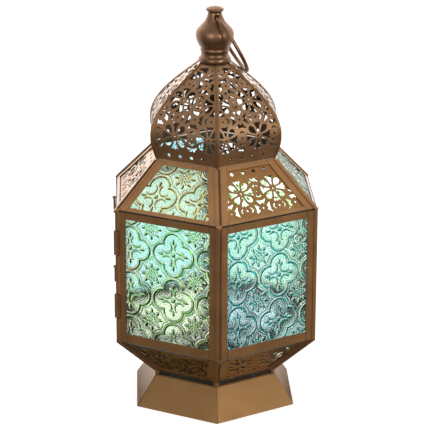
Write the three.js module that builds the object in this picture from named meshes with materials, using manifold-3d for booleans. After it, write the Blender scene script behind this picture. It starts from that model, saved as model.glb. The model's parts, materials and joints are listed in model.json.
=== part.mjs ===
// A six-sided Moroccan lantern: flared skirt, tapered foot, glazed body with a door, sloping shoulder,
// pierced onion dome and a turned finial with a hanging ring. Millimetres, +Z up; the origin is the
// middle of the skirt's underside, and the front corner points along -Y.
import * as THREE from 'three';
import { mergeVertices } from 'three/addons/utils/BufferGeometryUtils.js';
import Module from 'manifold-3d';

const wasm = await Module();
wasm.setup();

// Storeys, from the table up: heights, and radii from the centre to the corners of the hexagon
const SKIRT_HEIGHT = 30.1;
const SKIRT_FOOT_RADIUS = 91.1;
const WAIST_RADIUS = 69.2;
const RECESS_HEIGHT = 5;
const TAPER_HEIGHT = 39.5;
const BODY_HEIGHT = 136.4;
const BODY_RADIUS = 112.3;
const EAVE_OVERHANG = 0.7;
const SHOULDER_HEIGHT = 45.3;
const CROWN_RADIUS = 66.5;

// Dome: the curve of its seams, as two cubic arcs that meet at the belly
const DOME_HEIGHT = 87.6;
const DOME_FLARE = 4.5;
const DOME_FLARE_HEIGHT = 11.4;
const BELLY_RADIUS = 72.5;
const BELLY_HEIGHT = 24;
const BELLY_PULL_DOWN = 9;
const BELLY_PULL_UP = 23.5;
const DOME_TOP_RADIUS = 17;
const DOME_TOP_PULL_OUT = 25;
const DOME_TOP_PULL_DOWN = 19.6;
const DOME_ROWS = 5;

// Sheet, frames and glass
const GAP = 0.3;
const SHEET = 1;
const LIP = 0.8;
const FRAME_DEPTH = 3.6;
const FRAME_STILE = 10.2;
const GLASS_LAP = 2.2;
const GLASS_THICKNESS = 2;
const FRET_THICKNESS = 0.8;
const PUNCH_REACH = 3;
const BODY_RAIL_LOW = 10;
const BODY_RAIL_HIGH = 7.6;
const SHOULDER_RAIL = 5.4;
const TAPER_RAIL = 5.4;
const BAND_SLIT = 1.3;
const BEAD_WIDTH = 3.2;
const BEAD_RISE = 1.2;
const BEAD_SINK = 0.5;
const RIB_WIDTH = 2.6;
const RIB_RISE = 0.8;

// Floor, candle cup and skirt flange
const FLANGE_WIDTH = 9;
const FLOOR_INSET = 3;
const CUP_BORE = 20.5;
const CUP_WALL = 1.2;
const CUP_HEIGHT = 14;
const CUP_SIDES = 18;

// Door, its hinges and its catches
const DOOR_CLEARANCE = 0.5;
const HINGE_HEIGHT = 24;
const DOOR_LEAF_WIDTH = 7.5;
const POST_LEAF_WIDTH = 1.8;
const HINGE_LEAF = 0.8;
const HINGE_AXIS_OFFSET = 1;
const KNUCKLE_RADIUS = 1.9;
const KNUCKLE_SLOT = 0.4;
const PIN_RADIUS = 0.95;
const PIN_CLEARANCE = 0.12;
const PIN_HEAD_RADIUS = 1.7;
const PIN_HEAD = 1;
const UPPER_HINGE_DROP = 33;
const LOWER_HINGE_RISE = 38;
const CATCH_LENGTH = 18.4;
const CATCH_WIDTH = 3.6;
const CATCH_THICKNESS = 2.2;
const CATCH_STANDOFF = 0.8;
const RIVET_RADIUS = 0.9;
const RIVET_HEAD_RADIUS = 1.5;
const RIVET_HEAD = 0.6;
const RIVET_DEPTH = 2.4;
const UPPER_CATCH_DROP = 22;
const LOWER_CATCH_RISE = 39;
const ROUND_SIDES = 10;

// Fretwork lattice
const FRET_PITCH = 36.8;
const FRET_MARGIN = 1.1;
const PETAL_START = 3.2;
const PETAL_WIDEST = 10.4;
const PETAL_HALF_WIDTH = 3.3;
const PETAL_REACH = 14;
const TULIP_START = 3.6;
const TULIP_NOTCH = 11.2;
const TULIP_HALF_WIDTH = 3.7;
const TULIP_REACH = 13;
const CROWN_OFFSET = 11.6;
const CROWN_FOOT = 2.4;
const CROWN_TIP = 1.8;
const CROWN_HALF_WIDTH = 5.2;
const DOT_RADIUS = 1.5;
const FLAT_DOT_SIDES = 6;
const LOBE_DOT_SIDES = 4;
const BORDER_DOT_PITCH = 12.3;
const SHOULDER_ROW = 30.6;
const SHOULDER_BAND = 14;
const TAPER_ROW = 27;
const DOME_ROW = 27.5;
const DOME_BAND = 11;
const BORDER_DOT_INSET = 6.1;
const SHOULDER_DOT_INSET = 8.9;
const SHOULDER_DOT_SHIFT = -1.3;
const DOME_FRET_SHIFT = 10.5;

// Finial: half outlines as radius and height above each piece's seat, and the hanging ring
const COLLAR_OUTLINE = [[14.6, 0], [15.7, 1.8], [15.8, 4.6], [15, 6.1], [13.4, 7.4], [13.4, 10.2]];
const BULB_OUTLINE = [
  [13.4, 0], [14.1, 3], [13.6, 4.2], [17.2, 9.9], [18.4, 13.9], [18.5, 18.4],
  [17.1, 22.4], [13.6, 26.4], [10.4, 29.8], [8.3, 33.8], [6.7, 38.9],
];
const CAP_OUTLINE = [[6.7, 0], [8.7, 2.9], [8.2, 3.7], [4.5, 5.2]];
const CAP_TIP = 5.8;
const FINIAL_SIDES = 18;
const FINIAL_WALL = 1.4;
const RING_RADIUS = 31.6;
const RING_WIRE = 1.85;
const RING_HOLE = 2.9;
const RING_HOLE_HEIGHT = 34.8;
const RING_HOLE_OFFSET = 0.6;
const RING_LEAN = THREE.MathUtils.degToRad(29.4);
const RING_TURN = THREE.MathUtils.degToRad(12);
const RING_STEPS = 30;
const RING_SIDES = 6;

// Levels worked out from the storeys
const RECESS_Z = SKIRT_HEIGHT;
const TAPER_Z = RECESS_Z + RECESS_HEIGHT;
const BODY_Z = TAPER_Z + TAPER_HEIGHT;
const SHOULDER_Z = BODY_Z + BODY_HEIGHT;
const CROWN_Z = SHOULDER_Z + SHOULDER_HEIGHT;
const DOME_Z = CROWN_Z + GAP;
const COLLAR_Z = DOME_Z + DOME_HEIGHT + GAP;
const BULB_Z = COLLAR_Z + COLLAR_OUTLINE.at(-1)[1] + GAP;
const CAP_Z = BULB_Z + BULB_OUTLINE.at(-1)[1] + GAP;
const FLOOR_Z = SKIRT_HEIGHT + GAP;

const SIDES = ['front_right', 'right', 'rear_right', 'rear_left', 'left', 'front_left'];
const TURN = (2 * Math.PI) / SIDES.length;
const COS_HALF = Math.cos(TURN / 2);
const TAN_HALF = Math.tan(TURN / 2);
const DOOR_SIDE = 4;
const FRET_SIDES = [0, 2, 4];

const bronze = new THREE.MeshStandardMaterial({ color: 0x7a5a3a, roughness: 0.5, metalness: 0.7 });
const dark = new THREE.MeshStandardMaterial({ color: 0x4a3626, roughness: 0.6, metalness: 0.7 });
const glassOf = (color) => new THREE.MeshStandardMaterial({
  color, roughness: 0.1, transparent: true, opacity: 0.5 });
const green = glassOf(0xa8dcae);
const teal = glassOf(0x4fb4b4);
const yellow = glassOf(0xe8dc90);
const amber = glassOf(0xc08a40);
const bodyGlass = [teal, yellow, green];
const shoulderGlass = [green, teal, yellow];

// Solids: a geometry goes to the boolean kernel and back
function toSolid(geometry) {
  const bare = geometry.clone();
  bare.deleteAttribute('normal');
  bare.deleteAttribute('uv');
  const merged = mergeVertices(bare, 1e-5);
  const mesh = new wasm.Mesh({
    numProp: 3,
    vertProperties: merged.attributes.position.array,
    triVerts: new Uint32Array(merged.index.array),
  });
  return new wasm.Manifold(mesh);
}

function toGeometry(solid) {
  const mesh = solid.getMesh();
  const geometry = new THREE.BufferGeometry();
  geometry.setAttribute('position', new THREE.BufferAttribute(new Float32Array(mesh.vertProperties), 3));
  geometry.setIndex(new THREE.BufferAttribute(new Uint32Array(mesh.triVerts), 1));
  geometry.computeVertexNormals();
  return geometry;
}

function cut(body, tools) {
  return toGeometry(tools.reduce((solid, tool) => solid.subtract(toSolid(tool)), toSolid(body)));
}

function join(pieces) {
  const [first, ...others] = pieces.map(toSolid);
  return toGeometry(others.reduce((solid, other) => solid.add(other), first));
}

// A closed geometry from points and triangles, turned right side out
function closed(points, faces) {
  const volume = faces.reduce((sum, [a, b, c]) => sum + points[a].dot(points[b].clone().cross(points[c])), 0);
  const ordered = volume < 0 ? faces.map(([a, b, c]) => [a, c, b]) : faces;
  const geometry = new THREE.BufferGeometry().setFromPoints(points);
  geometry.setIndex(ordered.flat());
  geometry.computeVertexNormals();
  return geometry;
}

// Rings of points joined in order and capped at both ends; flat is a plane view of a ring for the caps
function loft(rings, flat) {
  const count = flat.length;
  const last = (rings.length - 1) * count;
  const faces = [];
  const clockwise = THREE.ShapeUtils.isClockWise(flat);
  for (const [a, b, c] of THREE.ShapeUtils.triangulateShape(flat, [])) {
    const [second, third] = clockwise ? [c, b] : [b, c];
    faces.push([a, third, second], [last + a, last + second, last + third]);
  }
  for (let ring = 0; ring < last; ring += count) {
    for (let i = 0; i < count; i++) {
      const j = (i + 1) % count;
      faces.push([ring + i, ring + j, ring + count + j], [ring + i, ring + count + j, ring + count + i]);
    }
  }
  return closed(rings.flat(), faces);
}

// A round or hexagonal piece turned about the vertical axis, with a corner towards -Y
function turned(outline, z, sides) {
  const points = [...outline, outline[0]].map(([r, h]) => new THREE.Vector2(r, h));
  return new THREE.LatheGeometry(points, sides).rotateX(Math.PI / 2).translate(0, 0, z);
}

function rod(radius, length, sides = ROUND_SIDES) {
  return new THREE.CylinderGeometry(radius, radius, length, sides).rotateX(Math.PI / 2);
}

// One wall of a storey in its own sector, where the wall faces -Y: u runs to the right seen from
// outside, v climbs the wall, and d stands out from it. The profile lists corner radii and heights.
class Wall {
  constructor(profile) {
    this.out = profile.map(([radius]) => radius * COS_HALF);
    this.z = profile.map(([, z]) => z);
    this.v = [0];
    const steps = [];
    for (let i = 1; i < profile.length; i++) {
      const step = new THREE.Vector2(this.out[i] - this.out[i - 1], this.z[i] - this.z[i - 1]);
      this.v.push(this.v[i - 1] + step.length());
      steps.push(step.normalize());
    }
    this.length = this.v.at(-1);
    this.slope = this.v.map((_, i) => {
      const before = steps[Math.max(i - 1, 0)];
      return before.clone().add(steps[Math.min(i, steps.length - 1)]).normalize();
    });
  }

  at(v) {
    const i = Math.min(Math.max(this.v.findIndex((limit) => limit > v), 1), this.v.length - 1);
    const segment = v >= this.length ? this.v.length - 1 : i;
    const t = (v - this.v[segment - 1]) / (this.v[segment] - this.v[segment - 1]);
    const slope = this.slope[segment - 1].clone().lerp(this.slope[segment], t).normalize();
    const out = THREE.MathUtils.lerp(this.out[segment - 1], this.out[segment], t);
    return { out, z: THREE.MathUtils.lerp(this.z[segment - 1], this.z[segment], t), slope };
  }

  place(u, v, d) {
    const { out, z, slope } = this.at(v);
    return new THREE.Vector3(u, -(out + d * slope.y), z - d * slope.x);
  }

  halfWidth(v, d = 0) {
    const { out, slope } = this.at(v);
    return (out + d * slope.y) * TAN_HALF;
  }

  // Half the width inside a margin that is measured square to the corner lines
  insideHalf(v, margin) {
    return this.halfWidth(v) - margin * Math.hypot(1, this.at(v).slope.x * TAN_HALF);
  }

  // Where a flat wall, or a layer at depth d, crosses a height
  vAt(z, d) {
    const { slope } = this.at(0);
    return (z - this.z[0] + d * slope.x) / slope.y;
  }

  // The trapezoid left inside the corner lines by a stile and two rails
  inset(stile, low, high) {
    const top = this.length - high;
    const lowHalf = this.insideHalf(low, stile);
    const topHalf = this.insideHalf(top, stile);
    return [[-lowHalf, low], [lowHalf, low], [topHalf, top], [-topHalf, top]];
  }
}

// A plate on a wall between two depths; outlineAt gives its outline at a depth
function plate(wall, outlineAt, back, front) {
  const rings = [back, front].map((d) => outlineAt(d).map(([u, v]) => wall.place(u, v, d)));
  return loft(rings, outlineAt(front).map(([u, v]) => new THREE.Vector2(u, v)));
}

// A sheet with holes punched through it between two depths
function pierced(wall, sheet, holes, back, front) {
  return cut(sheet, holes.map((hole) => plate(wall, () => hole, back, front)));
}

// A folded strip over the seam at a wall's left end, fused to this wall and clear of its neighbour.
// Each row is a function from depth to v, so a strip can end on a level or follow a curve.
function seamStrip(wall, rows, { width, rise, sink, foot }) {
  const neighbour = (point) => point.applyAxisAngle(new THREE.Vector3(0, 0, 1), -TURN);
  const rings = rows.map((row) => {
    const own = (inset, d) => wall.place(inset - wall.halfWidth(row(d), d), row(d), d);
    const other = (inset, d) => neighbour(wall.place(wall.halfWidth(row(d), d) - inset, row(d), d));
    return [own(width, -sink), own(width, rise), own(0, rise), other(width, rise), other(width, foot),
      own(0, foot), own(sink + GAP, -sink)];
  });
  const section = [[width, -sink], [width, rise], [0, rise], [-width, rise], [-width, foot], [0, foot],
    [sink + GAP, -sink]];
  const flat = section.map(([x, y]) => new THREE.Vector2(x, y - Math.abs(x) * TAN_HALF));
  return loft(rings, flat);
}

// The solid core of a post that stands beside the door, under its bead
function postCore(wall, rows, { width, depth, sink }) {
  const rings = rows.map((row) => {
    const own = (inset, d) => wall.place(inset - wall.halfWidth(row(d), d), row(d), d);
    const across = (inset, d) => {
      const point = wall.place(wall.halfWidth(row(d), d) - inset, row(d), d);
      return point.applyAxisAngle(new THREE.Vector3(0, 0, 1), -TURN);
    };
    return [own(width, -sink), own(0, 0), across(width, 0), across(width, -depth), own(0, -depth),
      own(width, -depth)];
  });
  const flat = rings[0].map(({ x, y }) => new THREE.Vector2(x, y));
  return loft(rings, flat);
}

// The mirror image across the wall's middle, right side out
function mirrored(geometry) {
  const image = geometry.clone().scale(-1, 1, 1);
  const index = image.index.array;
  for (let i = 0; i < index.length; i += 3) {
    [index[i], index[i + 1]] = [index[i + 1], index[i]];
  }
  return image;
}

// Fretwork: daisies on a square lattice, with a pair of crowns between each two
function ring2d(radius, sides) {
  return Array.from({ length: sides }, (_, i) => {
    const angle = (2 * Math.PI * i) / sides;
    return [radius * Math.cos(angle), radius * Math.sin(angle)];
  });
}

const TEARDROP = [[PETAL_START, 0], [PETAL_WIDEST, -PETAL_HALF_WIDTH], [PETAL_REACH, 0],
  [PETAL_WIDEST, PETAL_HALF_WIDTH]];
const TULIP = [[TULIP_START, 0], [TULIP_REACH, -TULIP_HALF_WIDTH], [TULIP_NOTCH, 0],
  [TULIP_REACH, TULIP_HALF_WIDTH]];
const CROWN = [[-CROWN_FOOT, -CROWN_HALF_WIDTH], [CROWN_TIP, 0], [-CROWN_FOOT, CROWN_HALF_WIDTH]];
const FLAT_DOT = ring2d(DOT_RADIUS, FLAT_DOT_SIDES);
const LOBE_DOT = ring2d(DOT_RADIUS, LOBE_DOT_SIDES);

function moved(outline, angle, u, v) {
  const [c, s] = [Math.cos(angle), Math.sin(angle)];
  return outline.map(([x, y]) => [u + x * c - y * s, v + x * s + y * c]);
}

function latticeCell(u, v) {
  const holes = [];
  for (let quarter = 0; quarter < 4; quarter++) {
    const angle = (quarter * Math.PI) / 2;
    holes.push(moved(TULIP, angle, u, v), moved(TEARDROP, angle + Math.PI / 4, u, v));
  }
  for (const [du, dv, angle] of [[FRET_PITCH / 2, 0, Math.PI / 2], [0, FRET_PITCH / 2, 0]]) {
    for (const side of [0, Math.PI]) {
      const [cu, cv] = [Math.cos(angle + side) * CROWN_OFFSET, Math.sin(angle + side) * CROWN_OFFSET];
      holes.push(moved(CROWN, angle + side, u + du + cu, v + dv + cv));
    }
  }
  return holes;
}

// The lattice's holes that lie wholly inside a wall's sheet
function fretHoles(wall, { u0, v0, low, high, stile }) {
  const inside = ([u, v]) => v > low && v < high && Math.abs(u) < wall.insideHalf(v, stile + FRET_MARGIN);
  const reach = Math.ceil(wall.length / FRET_PITCH) + 1;
  const holes = [];
  for (let column = -reach; column <= reach; column++) {
    for (let row = -reach; row <= reach; row++) {
      holes.push(...latticeCell(u0 + column * FRET_PITCH, v0 + row * FRET_PITCH));
    }
  }
  return holes.filter((hole) => hole.every(inside));
}

// A level row of dots, the middle two at equal distances from the wall's middle unless the row is shifted
function borderDots(wall, v, stile, dot, shift = 0) {
  const half = wall.insideHalf(v, stile + FRET_MARGIN + DOT_RADIUS);
  const count = Math.floor(half / BORDER_DOT_PITCH + 0.5);
  return Array.from({ length: 2 * count }, (_, i) => (i - count + 0.5) * BORDER_DOT_PITCH + shift)
    .filter((u) => Math.abs(u) < half)
    .map((u) => moved(dot, 0, u, v));
}

// A storey's frame: four mitred strips of folded sheet round one pane, with the lip in front
function paneFrame(wall, { low, high, rails, inset = 0 }) {
  const [bottom, top] = [low + BAND_SLIT / 2, high - BAND_SLIT / 2];
  const outlineAt = (d) => {
    const [v0, v1] = [wall.vAt(bottom, d), wall.vAt(top, d)];
    const half = (v) => wall.halfWidth(v, d) - GAP / 2 / COS_HALF - inset;
    return [[-half(v0), v0], [half(v0), v0], [half(v1), v1], [-half(v1), v1]];
  };
  const opening = () => wall.inset(FRAME_STILE, ...rails);
  const pocket = () => wall.inset(FRAME_STILE - GLASS_LAP, rails[0] - GLASS_LAP, rails[1] - GLASS_LAP);
  return cut(plate(wall, outlineAt, -FRAME_DEPTH, 0), [
    plate(wall, opening, -2 * FRAME_DEPTH, FRAME_DEPTH),
    plate(wall, pocket, -2 * FRAME_DEPTH, -LIP),
  ]);
}

// What a frame holds: a pane or a pierced sheet, behind the lip
function paneOutline(wall, rails) {
  const lap = GLASS_LAP - GAP;
  return wall.inset(FRAME_STILE - lap, rails[0] - lap, rails[1] - lap);
}

function pane(wall, rails) {
  const front = -LIP - GAP;
  return plate(wall, () => paneOutline(wall, rails), front - GLASS_THICKNESS, front);
}

function fretPane(wall, rails, lattice, dots) {
  const front = -LIP - GAP;
  const stile = FRAME_STILE - GLASS_LAP;
  const holes = [...fretHoles(wall, { ...lattice, stile }), ...dots];
  const sheet = plate(wall, () => paneOutline(wall, rails), front - FRET_THICKNESS, front);
  return pierced(wall, sheet, holes, -PUNCH_REACH, PUNCH_REACH);
}

const lantern = new THREE.Group();
const sectors = SIDES.map((_, side) => {
  const sector = new THREE.Group();
  sector.rotation.z = TURN * (side + 0.5);
  lantern.add(sector);
  return sector;
});

function add(parent, name, geometry, material) {
  const mesh = new THREE.Mesh(geometry, material);
  mesh.name = name;
  parent.add(mesh);
  return mesh;
}

// Skirt, floor and candle cup
function addBase() {
  const flare = SKIRT_FOOT_RADIUS - WAIST_RADIUS;
  const wall = (SHEET * Math.hypot(SKIRT_HEIGHT, flare * COS_HALF)) / SKIRT_HEIGHT / COS_HALF;
  const flange = WAIST_RADIUS - FLANGE_WIDTH;
  const under = SKIRT_HEIGHT - SHEET;
  const skirt = [[SKIRT_FOOT_RADIUS, 0], [WAIST_RADIUS, SKIRT_HEIGHT], [flange, SKIRT_HEIGHT],
    [flange, under], [WAIST_RADIUS + (SHEET * flare) / SKIRT_HEIGHT - wall, under],
    [SKIRT_FOOT_RADIUS - wall, 0]];
  add(lantern, 'base_skirt', turned(skirt, 0, SIDES.length), bronze);
  const floor = WAIST_RADIUS - FLOOR_INSET;
  const disc = [[0, 0], [floor, 0], [floor, SHEET], [0, SHEET]];
  add(lantern, 'floor_plate', turned(disc, FLOOR_Z, SIDES.length), bronze);
  const outer = CUP_BORE + CUP_WALL;
  const cup = [[0, 0], [outer, 0], [outer, CUP_HEIGHT], [CUP_BORE, CUP_HEIGHT], [CUP_BORE, CUP_WALL],
    [0, CUP_WALL]];
  add(lantern, 'candle_cup', turned(cup, FLOOR_Z + SHEET + GAP, CUP_SIDES), dark);
}

// Tapered foot: framed panes and pierced sheets in turn, on six short feet
function addTaper() {
  const wall = new Wall([[WAIST_RADIUS, TAPER_Z], [BODY_RADIUS, BODY_Z]]);
  const rails = [TAPER_RAIL, TAPER_RAIL];
  const bead = { width: BEAD_WIDTH, rise: BEAD_RISE, sink: BEAD_SINK, foot: GAP };
  const level = (z) => (d) => wall.vAt(z, d);
  const footWall = new Wall([[WAIST_RADIUS, RECESS_Z], [WAIST_RADIUS, TAPER_Z]]);
  const footLevel = (z) => (d) => footWall.vAt(z, d);
  SIDES.forEach((name, side) => {
    const frame = paneFrame(wall, { low: TAPER_Z - BAND_SLIT / 2, high: BODY_Z, rails });
    const strip = seamStrip(wall, [level(TAPER_Z - SHEET), level(BODY_Z - GAP / 2)], bead);
    const foot = seamStrip(footWall, [footLevel(RECESS_Z + GAP), footLevel(TAPER_Z - GAP)], {
      width: BEAD_WIDTH, rise: 0, sink: SHEET, foot: -SHEET });
    add(sectors[side], `taper_frame_${name}`, join([frame, strip, foot]), bronze);
    if (FRET_SIDES.includes(side)) {
      const lattice = { u0: FRET_PITCH / 2, v0: TAPER_ROW, low: TAPER_RAIL, high: wall.length - TAPER_RAIL };
      add(sectors[side], `taper_fret_${name}`, fretPane(wall, rails, lattice, []), bronze);
    } else {
      add(sectors[side], `taper_glass_${name}`, pane(wall, rails), amber);
    }
  });
}

const bodyWall = new Wall([[BODY_RADIUS, BODY_Z], [BODY_RADIUS, SHOULDER_Z]]);
const bodyHalf = bodyWall.halfWidth(0);
const bodyOut = bodyHalf / TAN_HALF;
const hingeLevels = [
  ['upper', SHOULDER_Z - UPPER_HINGE_DROP],
  ['lower', BODY_Z + LOWER_HINGE_RISE],
];
const catchLevels = [
  ['upper', SHOULDER_Z - UPPER_CATCH_DROP],
  ['lower', BODY_Z + LOWER_CATCH_RISE],
];

// A hinge turns about a line just outside the door's front corner
const hingeAxis = new THREE.Vector2(-bodyHalf - HINGE_AXIS_OFFSET * Math.sin(TURN / 2),
  -bodyOut - HINGE_AXIS_OFFSET * COS_HALF);

// A catch turns about a rivet in the middle of the post's outer face
const catchPivot = new THREE.Vector2(-bodyHalf + BEAD_WIDTH / 2, -bodyOut - BEAD_RISE);

function rivetHole(z) {
  return rod(RIVET_RADIUS + PIN_CLEARANCE, 2 * (RIVET_DEPTH + GAP)).rotateX(Math.PI / 2)
    .translate(catchPivot.x, catchPivot.y, z);
}

// Glazed body: five fixed sides, the posts that carry the door, and the door
function addBody() {
  const rails = [BODY_RAIL_LOW, BODY_RAIL_HIGH];
  const storey = { low: BODY_Z, high: SHOULDER_Z, rails };
  const level = (z) => (d) => bodyWall.vAt(z, d);
  const [bottom, top] = [BODY_Z + GAP / 2, SHOULDER_Z - GAP / 2];
  const bead = { width: BEAD_WIDTH, rise: BEAD_RISE, sink: BEAD_SINK, foot: GAP };
  const postBead = { ...bead, foot: -BEAD_SINK / 2 };
  const strip = (low, high, shape) => seamStrip(bodyWall, [level(low), level(high)], shape);
  const core = postCore(bodyWall, [level(bottom), level(top)], {
    width: BEAD_WIDTH, depth: FRAME_DEPTH - GAP, sink: BEAD_SINK / 2 });
  const clear = HINGE_HEIGHT / 2 + GAP + PIN_HEAD;
  const [upper, lower] = hingeLevels.map(([, z]) => z);
  const seams = SIDES.map(() => [strip(bottom, top, bead)]);
  seams[DOOR_SIDE + 1] = [core, strip(bottom, lower - clear, postBead),
    strip(lower + clear, upper - clear, postBead), strip(upper + clear, top, postBead)];
  seams[DOOR_SIDE - 1].push(mirrored(join([core, strip(bottom, top, postBead)])));
  const holes = SIDES.map(() => []);
  holes[DOOR_SIDE + 1] = [lower, upper].map((z) =>
    rod(KNUCKLE_RADIUS + KNUCKLE_SLOT, 2 * clear).translate(hingeAxis.x, hingeAxis.y, z));
  holes[DOOR_SIDE - 1] = catchLevels.map(([, z]) => rivetHole(z).rotateZ(TURN));
  SIDES.forEach((name, side) => {
    if (side === DOOR_SIDE) {
      const inset = BEAD_WIDTH + DOOR_CLEARANCE;
      add(sectors[side], 'door_frame', paneFrame(bodyWall, { ...storey, inset }), bronze);
      add(sectors[side], 'door_glass', pane(bodyWall, rails), bodyGlass[side % bodyGlass.length]);
    } else {
      const frame = join([paneFrame(bodyWall, storey), ...seams[side]]);
      add(sectors[side], `body_frame_${name}`, cut(frame, holes[side]), bronze);
      const glass = bodyGlass[side % bodyGlass.length];
      add(sectors[side], `body_glass_${name}`, pane(bodyWall, rails), glass);
    }
  });
}

// One leaf of a hinge, in the sector of the wall that it lies on; hand is 1 at a wall's left end
function hingeLeaf(z, hand, width, knuckles) {
  const axis = [hand * hingeAxis.x, hingeAxis.y];
  const third = HINGE_HEIGHT / 3;
  const y = -bodyOut - GAP - HINGE_LEAF / 2;
  const start = hingeAxis.x + KNUCKLE_RADIUS + KNUCKLE_SLOT;
  const box = (from, to, height, level) =>
    new THREE.BoxGeometry(to - from, HINGE_LEAF, height).translate((hand * (from + to)) / 2, y, level);
  const pieces = [box(start, start + width, HINGE_HEIGHT, z)];
  for (const knuckle of knuckles) {
    const level = z + knuckle * third;
    pieces.push(box(hingeAxis.x, start + BEAD_SINK, third - GAP, level));
    pieces.push(rod(KNUCKLE_RADIUS, third - GAP).translate(...axis, level));
  }
  return cut(join(pieces), [rod(PIN_RADIUS + PIN_CLEARANCE, 2 * HINGE_HEIGHT).translate(...axis, z)]);
}

function addHinges() {
  for (const [name, z] of hingeLevels) {
    const onPost = hingeLeaf(z, 1, POST_LEAF_WIDTH, [-1, 1]);
    const onDoor = hingeLeaf(z, -1, DOOR_LEAF_WIDTH, [0]);
    const fixed = add(sectors[DOOR_SIDE + 1], `hinge_${name}_post_leaf`, onPost, dark);
    add(sectors[DOOR_SIDE], `hinge_${name}_door_leaf`, onDoor, dark);
    const pin = join([
      rod(PIN_RADIUS, HINGE_HEIGHT),
      rod(PIN_HEAD_RADIUS, PIN_HEAD).translate(0, 0, (HINGE_HEIGHT + PIN_HEAD) / 2),
    ]);
    add(fixed.parent, `hinge_${name}_pin`, pin, dark).position.set(hingeAxis.x, hingeAxis.y, z);
  }
}

// A catch hangs from its rivet and turns across the door's edge
function addCatches() {
  const radius = CATCH_WIDTH / 2;
  const reach = CATCH_LENGTH - CATCH_WIDTH;
  const outline = new THREE.Shape().absarc(0, 0, radius, 0, Math.PI, false)
    .absarc(0, -reach, radius, Math.PI, 2 * Math.PI, false);
  const bore = new THREE.Path().absarc(0, 0, RIVET_RADIUS + PIN_CLEARANCE, 0, 2 * Math.PI, true);
  outline.holes.push(bore);
  const lever = new THREE.ExtrudeGeometry(outline, {
    depth: CATCH_THICKNESS, bevelEnabled: false, curveSegments: ROUND_SIDES / 2 });
  const head = CATCH_STANDOFF + CATCH_THICKNESS + 2 * GAP;
  for (const [name, z] of catchLevels) {
    const blade = toGeometry(toSolid(lever.clone().rotateX(Math.PI / 2)));
    add(sectors[DOOR_SIDE], `catch_${name}_lever`, blade, dark)
      .position.set(catchPivot.x, catchPivot.y - CATCH_STANDOFF, z);
    const shaft = rod(RIVET_RADIUS, head + RIVET_DEPTH).translate(0, 0, (head - RIVET_DEPTH) / 2);
    const cap = rod(RIVET_HEAD_RADIUS, RIVET_HEAD).translate(0, 0, head + RIVET_HEAD / 2 - GAP);
    const collar = rod(RIVET_HEAD_RADIUS, CATCH_STANDOFF - 2 * GAP).translate(0, 0, CATCH_STANDOFF / 2);
    add(sectors[DOOR_SIDE], `catch_${name}_rivet`, join([shaft, cap, collar]).rotateX(Math.PI / 2), dark)
      .position.set(catchPivot.x, catchPivot.y, z);
  }
}

// Sloping shoulder: framed panes and pierced sheets in turn, with a row of dots at the top
function addShoulder() {
  const wall = new Wall([[BODY_RADIUS + EAVE_OVERHANG, SHOULDER_Z], [CROWN_RADIUS, CROWN_Z]]);
  const rails = [SHOULDER_RAIL, SHOULDER_RAIL];
  const level = (z) => (d) => wall.vAt(z, d);
  const bead = { width: BEAD_WIDTH, rise: BEAD_RISE, sink: BEAD_SINK, foot: GAP };
  SIDES.forEach((name, side) => {
    const frame = paneFrame(wall, { low: SHOULDER_Z, high: CROWN_Z + BAND_SLIT / 2, rails });
    const strip = seamStrip(wall, [level(SHOULDER_Z + GAP / 2), level(CROWN_Z - BEAD_RISE)], bead);
    add(sectors[side], `shoulder_frame_${name}`, join([frame, strip]), bronze);
    if (FRET_SIDES.includes(side)) {
      const high = wall.length - SHOULDER_BAND;
      const lattice = { u0: FRET_PITCH / 2, v0: SHOULDER_ROW, low: SHOULDER_RAIL, high };
      const dots = borderDots(wall, wall.length - SHOULDER_DOT_INSET, FRAME_STILE - GLASS_LAP, FLAT_DOT,
        SHOULDER_DOT_SHIFT);
      add(sectors[side], `shoulder_fret_${name}`, fretPane(wall, rails, lattice, dots), bronze);
    } else {
      add(sectors[side], `shoulder_glass_${name}`, pane(wall, rails), shoulderGlass[(side - 1) / 2]);
    }
  });
}

// Onion dome: six pierced lobes, each curved only upwards, with a rib fused over its left seam
function domeProfile() {
  const lower = new THREE.CubicBezierCurve(
    new THREE.Vector2(CROWN_RADIUS, 0),
    new THREE.Vector2(CROWN_RADIUS + DOME_FLARE, DOME_FLARE_HEIGHT),
    new THREE.Vector2(BELLY_RADIUS, BELLY_HEIGHT - BELLY_PULL_DOWN),
    new THREE.Vector2(BELLY_RADIUS, BELLY_HEIGHT));
  const upper = new THREE.CubicBezierCurve(
    new THREE.Vector2(BELLY_RADIUS, BELLY_HEIGHT),
    new THREE.Vector2(BELLY_RADIUS, BELLY_HEIGHT + BELLY_PULL_UP),
    new THREE.Vector2(DOME_TOP_RADIUS + DOME_TOP_PULL_OUT, DOME_HEIGHT - DOME_TOP_PULL_DOWN),
    new THREE.Vector2(DOME_TOP_RADIUS, DOME_HEIGHT));
  const points = [...lower.getPoints(Math.ceil(DOME_ROWS / 2)), ...upper.getSpacedPoints(DOME_ROWS).slice(1)];
  return points.map(({ x, y }) => [x, DOME_Z + y]);
}

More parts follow.
